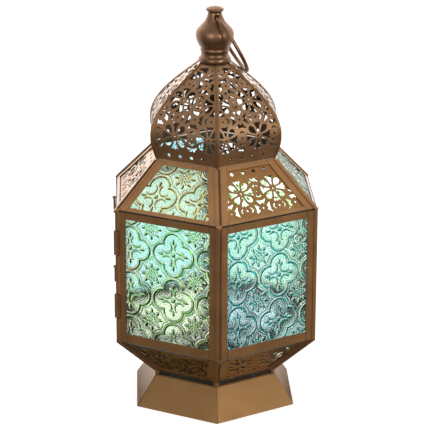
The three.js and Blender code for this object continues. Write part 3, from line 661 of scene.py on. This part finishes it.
def pierced_sheet(wall, outline, holes, back, front, spacing=None):
    """Points and faces of a sheet with holes; spacing adds rows of points where the wall is curved."""
    loops = [loop if area_of(loop) > 0 else loop[::-1] for loop in (outline, *holes)]
    flat = np.vstack(loops)
    starts = np.cumsum([0, *(len(loop) for loop in loops)])
    rings = [list(range(a, b)) for a, b in zip(starts, starts[1:])]
    loose = []
    if spacing:
        for v in np.arange(spacing, wall.length, spacing):
            half = float(wall.inside_half(v, 1))
            count = max(2, int(2 * half / spacing))
            loose += [(u, v) for u in np.linspace(-half, half, count)]
    points = [Vector(p) for p in [*map(tuple, flat), *loose]]
    made = delaunay_2d_cdt(points, [], rings, 2, 1e-5)
    plane = np.array([tuple(p) for p in made[0]])
    faces = [face for face, origin in zip(made[2], made[5]) if origin and max(origin) == 0]
    edges = {}
    for face in faces:
        for a, b in zip(face, (*face[1:], face[0])):
            edges[a, b] = True
    border = [(a, b) for a, b in edges if (b, a) not in edges]
    count = len(plane)
    layers = [wall.place(plane[:, 0], plane[:, 1], d) for d in (back, front)]
    solid = [tuple(reversed(face)) for face in faces]
    solid += [tuple(count + i for i in face) for face in faces]
    solid += [(a, b, count + b, count + a) for a, b in border]
    return np.vstack(layers), solid


def sheet_outline(wall, rails):
    """The outline of what a frame holds, behind its lip."""
    lap = GLASS_LAP - GAP
    stile = FRAME_STILE - lap
    low, high = rails[0] - lap, wall.length - rails[1] + lap
    a, b = (float(wall.inside_half(v, stile)) for v in (low, high))
    return np.array([(-a, low), (a, low), (b, high), (-b, high)])


def add_fret(name, side, wall, rails, lattice, dots):
    margin = FRAME_STILE - GLASS_LAP + GAP + SHEET_EDGE
    holes = fret_holes(wall, margin=margin, **lattice) + dots
    points, faces = pierced_sheet(wall, sheet_outline(wall, rails), holes,
                                  SHEET_FRONT - FRET_THICKNESS, SHEET_FRONT)
    piece(name + "_sheet", turned_to(points, side), faces, fret_paint, body_of(name), [name])


shoulder = Wall([(BODY_RADIUS + EAVE_OVERHANG, SHOULDER_Z), (CROWN_RADIUS, CROWN_Z)])
taper = Wall([(WAIST_RADIUS, TAPER_Z), (BODY_RADIUS, BODY_Z)])
body_wall = Wall([(BODY_RADIUS, BODY_Z), (BODY_RADIUS, SHOULDER_Z)])
SHOULDER_RAILS = (SHOULDER_RAIL, SHOULDER_RAIL)
TAPER_RAILS = (TAPER_RAIL, TAPER_RAIL)
BODY_RAILS = (BODY_RAIL_LOW, BODY_RAIL_HIGH)
for side in FRET_SIDES:
    dots = border_dots(shoulder, shoulder.length - SHOULDER_DOT_INSET, FRAME_STILE, SHOULDER_DOT_SHIFT)
    add_fret(f"shoulder_fret_{SIDES[side]}", side, shoulder, SHOULDER_RAILS, {
        "u0": FRET_PITCH / 2, "v0": SHOULDER_ROW, "low": SHOULDER_RAIL + SHEET_EDGE,
        "high": shoulder.length - SHOULDER_BAND, "first": SHOULDER_RAIL + 2 * SHEET_EDGE}, dots)
    add_fret(f"taper_fret_{SIDES[side]}", side, taper, TAPER_RAILS, {
        "u0": FRET_PITCH / 2, "v0": TAPER_ROW, "low": TAPER_RAIL - SHEET_EDGE,
        "high": taper.length - TAPER_RAIL + SHEET_EDGE, "first": 0}, [])


# Onion dome
def bezier(a, b, c, d, count):
    t = np.linspace(0, 1, count)[:, None]
    a, b, c, d = (np.array(p, float) for p in (a, b, c, d))
    return a * (1 - t) ** 3 + 3 * b * t * (1 - t) ** 2 + 3 * c * t * t * (1 - t) + d * t**3


lower = bezier((CROWN_RADIUS, 0), (CROWN_RADIUS + DOME_FLARE, DOME_FLARE_HEIGHT),
               (BELLY_RADIUS, BELLY_HEIGHT - BELLY_PULL_DOWN), (BELLY_RADIUS, BELLY_HEIGHT), DOME_STEPS)
upper = bezier((BELLY_RADIUS, BELLY_HEIGHT), (BELLY_RADIUS, BELLY_HEIGHT + BELLY_PULL_UP),
               (DOME_TOP_RADIUS + DOME_TOP_PULL_OUT, DOME_HEIGHT - DOME_TOP_PULL_DOWN),
               (DOME_TOP_RADIUS, DOME_HEIGHT), 2 * DOME_STEPS)
dome = Wall(np.vstack([lower, upper[1:]]) + (0, DOME_Z))


def seam_rib(wall, rows, width, rise):
    """A rounded bead over the seam at a wall's left end, from this wall to its neighbour."""
    turn = np.array(Matrix.Rotation(-TURN, 3, "Z"))
    share = np.linspace(-1, 1, RIB_SECTION_POINTS)
    section = [(width * abs(t), rise * math.sqrt(max(0, 1 - t * t)) + RIB_LIFT, t < 0) for t in share]
    section += [(0, -SHEET / 2, False)]
    rings = []
    for v in rows:
        for inset, d, other in section:
            half = float(wall.half_width(v, d))
            point = wall.place(half - inset, v, d) @ turn.T if other else wall.place(inset - half, v, d)
            rings.append(point)
    count = len(section)
    faces = []
    for row in range(len(rows) - 1):
        for i in range(count):
            j = (i + 1) % count
            a, b = row * count + i, row * count + j
            faces.append((a, b, b + count, a + count))
    last = (len(rows) - 1) * count
    faces += [tuple(reversed(range(count))), tuple(range(last, last + count))]
    return np.array(rings), faces


for side, name in enumerate(SIDES):
    node_name = f"dome_lobe_{name}"
    rim = GAP / 2 / COS_HALF
    levels = np.linspace(0, dome.length, DOME_EDGE_ROWS)
    right = [(float(dome.half_width(v)) - rim, v) for v in levels]
    outline = np.array(right + [(-u, v) for u, v in reversed(right)])
    holes = fret_holes(dome, -DOME_SHIFT if side % 2 else DOME_SHIFT, DOME_ROW, RIB_WIDTH - DOME_HOLE_REST,
                       DOME_BAND, dome.length - DOME_TOP_BAND, DOME_BAND)
    holes += border_dots(dome, BORDER_DOT_INSET, RIB_WIDTH + DOME_DOT_REST)
    points, faces = pierced_sheet(dome, outline, holes, -SHEET, 0, ROW_SPACING)
    piece(node_name + "_sheet", turned_to(points, side), faces, dome_paint, "root", [node_name])
    points, faces = seam_rib(dome, np.linspace(0, dome.length, RIB_ROWS), RIB_WIDTH, RIB_RISE)
    piece(node_name + "_rib", turned_to(points, side), faces, rib_paint, "root", [node_name])


# Pressed glass
def swell(distance, inner, outer):
    """A rounded ridge about distance 0: its height as a share, with its own reach on either side."""
    share = np.where(distance < 0, -distance / inner, distance / outer)
    return np.cos(math.pi / 2 * np.clip(share, 0, 1)) ** 2


def leaf(x, y, angle, size):
    """A raised leaf that points away from the centre: its height as a share, 0 to 1. The size gives how far
    from the centre it starts and ends, and its width."""
    start, end, width = size
    along = x * math.cos(angle) + y * math.sin(angle)
    across = -x * math.sin(angle) + y * math.cos(angle)
    t = np.clip((along - start) / (end - start), 0, 1)
    half = width / 2 * np.sin(math.pi * t) ** 0.6 + 1e-6
    return swell(across, half, half) * np.clip(6 * t, 0, 1) * np.clip(6 * (1 - t), 0, 1)


def boss(x, y, radius):
    return swell(np.hypot(x, y), radius, radius)


def glass_relief(u, v, u0, v0):
    """Relief of the pressed pattern in millimetres, and the ripple of the ground between the figures."""
    dx = (u - u0 + GLASS_PITCH_U / 2) % GLASS_PITCH_U - GLASS_PITCH_U / 2
    dy = (v - v0 + GLASS_PITCH_V / 2) % GLASS_PITCH_V - GLASS_PITCH_V / 2
    ax, ay = np.abs(dx), np.abs(dy)
    far, near = np.maximum(ax, ay), np.minimum(ax, ay)
    foil = np.hypot(far - FOIL_CENTRE, near) - FOIL_RADIUS
    height = FOIL_RISE * swell(foil - FOIL_RIDGE, FOIL_REACH, FOIL_REACH)
    outer_line = swell(foil - FOIL_RIDGE - OUTER_LINE, OUTER_LINE_REACH, OUTER_LINE_REACH)
    height = np.maximum(height, OUTER_LINE_SHARE * FOIL_RISE * outer_line)
    flower = boss(dx, dy, FLOWER_EYE)
    for quarter in range(4):
        angle = quarter * math.pi / 2
        flower = np.maximum(flower, leaf(dx, dy, angle, FLOWER_LEAF))
        c, s = math.cos(angle + math.pi / 4), math.sin(angle + math.pi / 4)
        along = dx * c + dy * s - SCROLL_CENTRE
        across = dy * c - dx * s
        scroll = swell(np.hypot(along, across) - SCROLL_RADIUS, SCROLL_REACH, SCROLL_REACH)
        flower = np.maximum(flower, scroll * np.clip(1 - along / SCROLL_END, 0, 1))
    height = np.maximum(height, FLOWER_RISE * flower)
    rx = (u - u0) % GLASS_PITCH_U - GLASS_PITCH_U / 2
    ry = (v - v0) % GLASS_PITCH_V - GLASS_PITCH_V / 2
    rosette = boss(rx, ry, ROSETTE_EYE)
    for eighth in range(8):
        angle = eighth * math.pi / 4
        rosette = np.maximum(rosette, leaf(rx, ry, angle, ROSETTE_LEAF))
        between = leaf(rx, ry, angle + math.pi / 8, ROSETTE_SMALL_LEAF)
        rosette = np.maximum(rosette, ROSETTE_LOW_SHARE * between)
        rosette = np.maximum(rosette, ROSETTE_LOW_SHARE * leaf(rx, ry, angle, ROSETTE_INNER_LEAF))
    height = np.maximum(height, ROSETTE_RISE * rosette)
    return height, np.sin(2 * math.pi * foil / RIPPLE) - FOIL_GROUND * (foil < 0)


def add_glass(name, side, wall, rails, material, slot, u0, v0):
    """One pane: a relief front, a flat back, and a plain margin behind the frame's lip."""
    (low_half, low), (top_half, high) = np.abs(sheet_outline(wall, rails))[1:3]
    columns = int(2 * max(low_half, top_half) / GLASS_STEP) + 2
    rows = int((high - low) / GLASS_STEP) + 2
    v = np.repeat(np.linspace(low, high, rows), columns)
    half = np.interp(v, (low, high), (low_half, top_half))
    u = np.tile(np.linspace(-1, 1, columns), rows) * half
    edge = np.minimum(np.minimum(v - low, high - v), half - np.abs(u)) - (GLASS_LAP - GAP)
    height, ripple = glass_relief(u, v, u0, v0)
    height = height * np.clip(edge / RELIEF_FADE, 0, 1)
    # Painted shade and highlight: the relief's height towards the upper left minus that towards the lower
    # right, as if lit from the upper left
    toward_light = glass_relief(u - PAINTED_LIGHT_OFFSET[0], v - PAINTED_LIGHT_OFFSET[1], u0, v0)[0]
    away_from_light = glass_relief(u + PAINTED_LIGHT_OFFSET[0], v + PAINTED_LIGHT_OFFSET[1], u0, v0)[0]
    line = np.maximum(height, (toward_light + away_from_light) / 2) / FOIL_RISE
    painted_shading = (toward_light - away_from_light) / FOIL_RISE
    front = wall.place(u, v, SHEET_FRONT + height)
    index = np.arange(rows * columns).reshape(rows, columns)
    a, b, c, d = index[:-1, :-1], index[:-1, 1:], index[1:, 1:], index[1:, :-1]
    faces = np.stack([a, b, c, d], axis=-1).reshape(-1, 4).tolist()
    rim = np.concatenate([index[0], index[1:, -1], index[-1, -2::-1], index[-2:0:-1, 0]])
    back = wall.place(u[rim], v[rim], SHEET_FRONT - GLASS_THICKNESS)
    start, count = len(front), len(rim)
    for i in range(count):
        j = (i + 1) % count
        faces.append((rim[j], rim[i], start + i, start + j))
    faces.append(tuple(start + i for i in reversed(range(count))))
    made = piece(name + "_pane", turned_to(np.vstack([front, back]), side), faces, material,
                 body_of(name), [name], sharp=GLASS_SHARP_ANGLE)
    for key, values in (("line", line), ("painted_shading", painted_shading), ("ripple", ripple)):
        data = np.concatenate([values, np.zeros(count)]).astype(np.float32)
        made.data.attributes.new(key, "FLOAT", "POINT").data.foreach_set("value", data)


BODY_GLASS = ((TEAL, "teal_glass"), (YELLOW, "yellow_glass"), (GREEN, "green_glass"))
BODY_PATTERN = ((13.4, 30.2), (4, 25), (-8, 38), (16, 30), (2, 33), (6, 54.3))
SHOULDER_GLASS = {1: (GREEN, "green_glass"), 3: (TEAL, "teal_glass"), 5: (YELLOW, "yellow_glass")}
for side, name in enumerate(SIDES):
    node_name = "door_glass" if side == DOOR_SIDE else f"body_glass_{name}"
    material, slot = BODY_GLASS[side % 3]
    add_glass(node_name, side, body_wall, BODY_RAILS, material, slot, *BODY_PATTERN[side])
for side, (material, slot) in SHOULDER_GLASS.items():
    add_glass(f"shoulder_glass_{SIDES[side]}", side, shoulder, SHOULDER_RAILS, material, slot, -20.2, 22)
    add_glass(f"taper_glass_{SIDES[side]}", side, taper, TAPER_RAILS, AMBER if side == 5 else STRAW,
              "amber_glass", 6, 20)


# Thin lines of shade on the frames: the slot under each shoulder frame, the folds beside the corner beads and
# the joints between stiles and rails
def strips(name, side, wall, lines, material, body="root", base=0.0):
    """Flat strips on a wall, each from (u, v) to (u, v) with its own width, all in one piece."""
    points, faces = [], []
    for u0, v0, u1, v1, width in lines:
        along = np.array([u1 - u0, v1 - v0])
        across = np.array([-along[1], along[0]]) / np.linalg.norm(along) * width / 2
        ends = np.array([(u0, v0), (u1, v1), (u1, v1), (u0, v0)]) + np.outer((-1, -1, 1, 1), across)
        start = len(points)
        for d in (base + STRIP_SUNK, base + STRIP_PROUD):
            points.extend(wall.place(ends[:, 0], ends[:, 1], d))
        faces += [tuple(start + i for i in face) for face in (
            (3, 2, 1, 0), (4, 5, 6, 7), (0, 1, 5, 4), (1, 2, 6, 5), (2, 3, 7, 6), (3, 0, 4, 7))]
    piece(name, turned_to(points, side), faces, material, body, [])


def joint_lines(wall, rails):
    """Where the rails end at the stiles."""
    low, high = EDGE_REST, wall.length - EDGE_REST
    lines = []
    for hand in (-1, 1):
        for v0, v1 in ((low, rails[0]), (wall.length - rails[1], high)):
            lines.append((hand * wall.inside_half(v0, FRAME_STILE), v0,
                          hand * wall.inside_half(v1, FRAME_STILE), v1, JOINT_LINE))
    return lines


def fold_line(wall):
    """Painted shade along the lapped edge on the right half of a corner bead."""
    low, high = FOLD_REST, wall.length - FOLD_REST
    start, end = -wall.inside_half(low, FOLD_CENTRE), -wall.inside_half(high, FOLD_CENTRE)
    return [(start, low, end, high, FOLD_WIDTH)]


for side, name in enumerate(SIDES):
    # Painted shade: a near-black strip along the lower edge of each shoulder frame, for the shade in the slit
    # above the body
    half = shoulder.half_width(EAVE_SLOT, 0) - EAVE_INSET
    strips(f"eave_slot_{name}", side, shoulder, [(-half, EAVE_SLOT, half, EAVE_SLOT, EAVE_WIDTH)], shadow_gap)
    for part, wall, rails in (("taper", taper, TAPER_RAILS), ("body", body_wall, BODY_RAILS),
                              ("shoulder", shoulder, SHOULDER_RAILS)):
        body = "door" if part == "body" and side == DOOR_SIDE else "root"
        strips(f"{part}_joints_{name}", side, wall, joint_lines(wall, rails), shadow_gap, body)
        if part != "body" or side < DOOR_SIDE:
            # Painted shade beside each corner bead
            strips(f"{part}_fold_{name}", side, wall, fold_line(wall), painted_fold_shade, base=BEAD_RISE)


skirt = Wall([(SKIRT_FOOT_RADIUS, 0), (WAIST_RADIUS, SKIRT_HEIGHT)])
# Painted shade: near-black strips under the skirt's top edge and along the seam at each side's left corner
for side, name in enumerate(SIDES):
    low, high = EDGE_REST, skirt.length - EDGE_REST
    half = skirt.half_width(high) - SEAM_LINE
    strips(f"skirt_lines_{name}", side, skirt, [
        (-half, high, half, high, SEAM_LINE),
        (SEAM_LINE - skirt.half_width(low), low, -half, high, SEAM_LINE)], shadow_gap)


# Turned pieces
def lathe(outline, z, sides=64):
    """Points and faces of a closed outline, or of one that runs from axis to axis, turned about that axis."""
    outline = np.asarray(outline, float)
    solid = outline[0, 0] == 0
    ring = outline[1:-1] if solid else outline
    count = len(ring)
    points = []
    for step in range(sides):
        angle = 2 * math.pi * step / sides
        x, y = ring[:, 0] * math.cos(angle), ring[:, 0] * math.sin(angle)
        points.append(np.column_stack([x, y, ring[:, 1] + z]))
    if solid:
        points.append([(0, 0, outline[0, 1] + z), (0, 0, outline[-1, 1] + z)])
    bottom, top = sides * count, sides * count + 1
    faces = []
    for step in range(sides):
        a, b = step * count, (step + 1) % sides * count
        for i in range(count - 1 if solid else count):
            j = (i + 1) % count
            faces.append((a + i, b + i, b + j, a + j))
        if solid:
            faces += [(b, a, bottom), (a + count - 1, b + count - 1, top)]
    return np.vstack(points), faces


def shell_outline(stretches, wall, steps=5):
    """A turned sheet's closed outline: smooth stretches outside, the same line set in inside."""
    lines = [curve_through(stretch, steps) for stretch in stretches]
    outer = np.vstack([lines[0], *(line[1:] for line in lines[1:])])
    inner = outer[::-1] - (wall, 0)
    return np.vstack([outer, inner])


COLLAR = (((14.6, 0), (15.7, 1.6), (15.9, 3.2), (15.6, 4.8), (14.6, 6.1)),
          ((14.6, 6.1), (13.6, 7), (13.3, 8.6), (13.4, 10.2)))
BULB = (((13.4, 0), (14.1, 1.2), (14.2, 2.6), (13.6, 4.2)),
        ((13.6, 4.2), (15.4, 6.4), (17.2, 9.9), (18.4, 13.9), (18.5, 18.4), (17.1, 22.4), (13.6, 26.4),
         (10.4, 29.8), (8.3, 33.8), (7.2, 36.6), (6.7, 38.9)))
CAP = ((0, 0), (6.7, 0), (7.9, 0.9), (8.7, 2), (8.7, 2.9), (8, 3.8), (6.2, 4.6), (4.3, 5.3), (2.2, 5.7),
       (0, 5.8))

points, faces = lathe(shell_outline(COLLAR, FINIAL_WALL), COLLAR_Z)
piece("finial_collar_turning", points, faces, finial_paint, "root", ["finial_collar"])
points, faces = lathe(shell_outline(BULB, FINIAL_WALL), BULB_Z, 96)
bulb = piece("finial_bulb_turning", points, faces, finial_paint, "root", ["finial_bulb"])
cap = np.vstack([CAP[0], curve_through(CAP[1:], 4)])
points, faces = lathe(cap, CAP_Z)
piece("finial_cap_turning", points, faces, finial_paint, "root", ["finial_cap"])

HOLE_Z = BULB_Z + RING_HOLE_HEIGHT
TURNED = np.array(Matrix.Rotation(RING_TURN, 3, "Z"))


def punch(target, points, faces):
    """Cut a closed form, given in millimetres, out of a piece."""
    mesh = bpy.data.meshes.new("cutter")
    mesh.from_pydata((points * MM).tolist(), [], faces)
    cutter = bpy.data.objects.new("cutter", mesh)
    bpy.context.scene.collection.objects.link(cutter)
    change = target.modifiers.new("hole", "BOOLEAN")
    change.object = cutter
    change.solver = "EXACT"
    ready = target.evaluated_get(bpy.context.evaluated_depsgraph_get())
    holed = bpy.data.meshes.new_from_object(ready)
    target.modifiers.clear()
    target.data = holed
    bpy.data.objects.remove(cutter)
    holed.set_sharp_from_angle(angle=math.radians(SHARP_ANGLE))


n = HOLE_SIDES
angles = np.arange(n) * 2 * math.pi / n
rim = np.column_stack([RING_HOLE * np.cos(angles), 0 * angles, RING_HOLE * np.sin(angles) + HOLE_Z])
rod = np.vstack([rim - (0, ROD_REACH, 0), rim + (0, ROD_REACH, 0)]) @ TURNED.T
rod_faces = [tuple(range(n)), tuple(range(2 * n - 1, n - 1, -1))]
rod_faces += [(n + i, n + (i + 1) % n, (i + 1) % n, i) for i in range(n)]
punch(bulb, rod, rod_faces)

profile = shell_outline(BULB, FINIAL_WALL)
profile = profile[:len(profile) // 2]
bulb_radius = np.interp(rim[:, 2] - BULB_Z, profile[:, 1], profile[:, 0])
for hand, word in ((-1, "front"), (1, "rear")):
    edge = rim + np.outer(hand * np.sqrt(bulb_radius ** 2 - rim[:, 0] ** 2), (0, 1, 0))
    outward = np.column_stack([np.cos(angles), 0 * angles, np.sin(angles)])
    lip = []
    for turn in np.arange(LIP_SIDES) * 2 * math.pi / LIP_SIDES:
        lip.append(edge + LIP_WIRE * (math.cos(turn) * outward + math.sin(turn) * np.array((0, 1, 0))))
    faces = []
    for i in range(n):
        for j in range(LIP_SIDES):
            this, after, right = j * n, (j + 1) % LIP_SIDES * n, (i + 1) % n
            faces.append((this + i, this + right, after + right, after + i))
    piece(f"ring_hole_lip_{word}", np.vstack(lip) @ TURNED.T, faces, finial_paint, "root", [])

# A sleeve inside the joint of dome and collar, in near-black paint that stands for the shade in the joint
sleeve = [(SLEEVE_RADIUS - SLEEVE_WALL, -SLEEVE_DROP), (SLEEVE_RADIUS, -SLEEVE_DROP),
          (SLEEVE_RADIUS, SLEEVE_RISE), (SLEEVE_RADIUS - SLEEVE_WALL, SLEEVE_RISE)]
points, faces = lathe(sleeve, COLLAR_Z, 48)
piece("finial_sleeve", points, faces, shadow_gap, "root", [])


def torus(major, minor, steps, sides):
    """A ring in the plane of Y and Z about the origin."""
    a = np.repeat(np.arange(steps) * 2 * math.pi / steps, sides)
    b = np.tile(np.arange(sides) * 2 * math.pi / sides, steps)
    reach = major + minor * np.cos(b)
    points = np.column_stack([minor * np.sin(b), reach * np.cos(a), reach * np.sin(a)])
    faces = []
    for i in range(steps):
        for j in range(sides):
            k, n = (i + 1) % steps, (j + 1) % sides
            faces.append((i * sides + j, i * sides + n, k * sides + n, k * sides + j))
    return points, faces


points, faces = torus(RING_RADIUS, RING_WIRE, 120, 16)
points = points + (0, 0, RING_HOLE_OFFSET - RING_RADIUS)
swing = np.array(Matrix.Rotation(RING_TURN, 3, "Z") @ Matrix.Rotation(-RING_LEAN, 3, "Y"))
piece("hanging_ring_wire", points @ swing.T + (0, 0, HOLE_Z), faces, finial_paint, "ring", ["hanging_ring"])

cup_outside = CUP_BORE + CUP_WALL
cup = [(0, 0), (CUP_BORE, 0), (cup_outside, CUP_FOOT_ROUND), (cup_outside, CUP_HEIGHT - CUP_LIP_OUTSIDE),
       (cup_outside - CUP_LIP_WIDTH, CUP_HEIGHT), (CUP_BORE, CUP_HEIGHT - CUP_LIP_INSIDE),
       (CUP_BORE, CUP_WALL + CUP_FOOT_ROUND), (CUP_BORE - CUP_FOOT_ROUND, CUP_WALL), (0, CUP_WALL)]
points, faces = lathe(cup, FLOOR_Z + SHEET + GAP)
piece("candle_cup_turning", points, faces, cup_paint, "root", ["candle_cup"])


# Floor, world and lamps. The studio is white behind the object and dimmer towards the front.
def product(tree, first, second):
    return node(tree, "ShaderNodeMath", {0: first, 1: second}, operation="MULTIPLY").outputs[0]


def before(tree, bounces):
    """1 until the first bounce of its kind."""
    return node(tree, "ShaderNodeMath", {0: bounces, 1: 0.5}, operation="LESS_THAN").outputs[0]


def seen_through_glass(tree, path):
    """1 for rays that reach the eye through glass alone, 0 for light that something else has sent on."""
    clear = product(tree, before(tree, path.outputs["Diffuse Depth"]),
                    before(tree, path.outputs["Glossy Depth"]))
    return product(tree, path.outputs["Is Transmission Ray"], clear)


def mirrored_outside(tree, path):
    """1 for reflections that the eye sees without glass between."""
    clear = product(tree, before(tree, path.outputs["Diffuse Depth"]),
                    before(tree, path.outputs["Transmission Depth"]))
    return product(tree, path.outputs["Is Glossy Ray"], clear)


def front_to_back(tree, vector, reach, front, behind):
    y = node(tree, "ShaderNodeSeparateXYZ", {"Vector": vector}).outputs["Y"]
    return node(tree, "ShaderNodeMapRange", {
        "Value": y, "From Min": 0.0, "From Max": reach, "To Min": front, "To Max": behind}).outputs["Result"]


def studio_strength(tree, path, vector, reach, front, behind, mirrored):
    """How bright floor or backdrop is for a ray that doesn't come straight from the camera."""
    strength = front_to_back(tree, vector, reach, front, behind)
    for rays, other in ((mirrored_outside(tree, path), front_to_back(tree, vector, reach, front, mirrored)),
                        (seen_through_glass(tree, path), THROUGH_GLASS)):
        strength = node(tree, "ShaderNodeMix", {0: rays, 2: strength, 3: other}, data_type="FLOAT").outputs[0]
    return strength


floor_white, tree = new_material("floor_white")
place = node(tree, "ShaderNodeTexCoord").outputs["Object"]
lit = node(tree, "ShaderNodeBsdfPrincipled", {
    "Base Color": grey(0.9), "Roughness": 0.6, "Emission Color": grey(1), "Emission Strength": 0.62})
path = node(tree, "ShaderNodeLightPath")
unlit = node(tree, "ShaderNodeEmission", {
    "Color": grey(1), "Strength": studio_strength(
        tree, path, place, FLOOR_REACH, FLOOR_FRONT, FLOOR_BACK, FLOOR_MIRRORED)})
both = node(tree, "ShaderNodeMixShader", {
    0: path.outputs["Is Camera Ray"], 1: unlit.outputs["Emission"], 2: lit.outputs["BSDF"]})
out = node(tree, "ShaderNodeOutputMaterial")
tree.links.new(both.outputs["Shader"], out.inputs["Surface"])
plane = bpy.data.meshes.new("floor")
corners = [(x * FLOOR_SIZE, y * FLOOR_SIZE, 0) for x, y in ((-1, -1), (1, -1), (1, 1), (-1, 1))]
plane.from_pydata(corners, [], [(0, 1, 2, 3)])
plane.materials.append(floor_white)
floor = bpy.data.objects.new("floor", plane)
bpy.context.scene.collection.objects.link(floor)

world = bpy.data.worlds.new("studio")
bpy.context.scene.world = world
world.use_nodes = True
tree = world.node_tree
tree.nodes.clear()
around = node(tree, "ShaderNodeTexCoord").outputs["Generated"]
path = node(tree, "ShaderNodeLightPath")
strength = node(tree, "ShaderNodeMix", {
    0: path.outputs["Is Camera Ray"], 3: 1.0,
    2: studio_strength(tree, path, around, WORLD_REACH, WORLD_FRONT, WORLD_BACK, WORLD_MIRRORED)},
    data_type="FLOAT").outputs[0]
backdrop = node(tree, "ShaderNodeBackground", {"Color": grey(1), "Strength": strength})
world_out = node(tree, "ShaderNodeOutputWorld")
tree.links.new(backdrop.outputs["Background"], world_out.inputs["Surface"])


def lamp(name, place, size, watts):
    light = bpy.data.lights.new(name, "AREA")
    light.size = size
    light.energy = watts
    made = bpy.data.objects.new(name, light)
    made.location = place
    made.rotation_euler = (AIM - Vector(place)).to_track_quat("-Z", "Y").to_euler()
    bpy.context.scene.collection.objects.link(made)


lamp("key", (1.3, -1.5, 0.7), 0.6, 16)
lamp("front", (-0.8, -1.7, 0.7), 0.7, 9)

azimuth = math.radians(CAMERA_AZIMUTH)
elevation = math.radians(CAMERA_ELEVATION)
roll = math.radians(CAMERA_ROLL)
back = Vector((math.sin(azimuth) * math.cos(elevation), -math.cos(azimuth) * math.cos(elevation),
               math.sin(elevation)))
right = Vector((0, 0, 1)).cross(back).normalized()
up = back.cross(right)
right, up = (right * math.cos(roll) + up * math.sin(roll), up * math.cos(roll) - right * math.sin(roll))
lens = bpy.data.cameras.new("camera")
lens.sensor_width = SENSOR_WIDTH
lens.lens = SENSOR_WIDTH * FOCAL_PIXELS / FRAME_PIXELS
lens.shift_x, lens.shift_y = CAMERA_SHIFT
camera = bpy.data.objects.new("camera", lens)
camera.matrix_world = Matrix.Translation(AIM + back * CAMERA_DISTANCE) @ Matrix(
    (right, up, back)).transposed().to_4x4()
bpy.context.scene.collection.objects.link(camera)
bpy.context.scene.camera = camera
bpy.context.scene.view_settings.view_transform = "Standard"
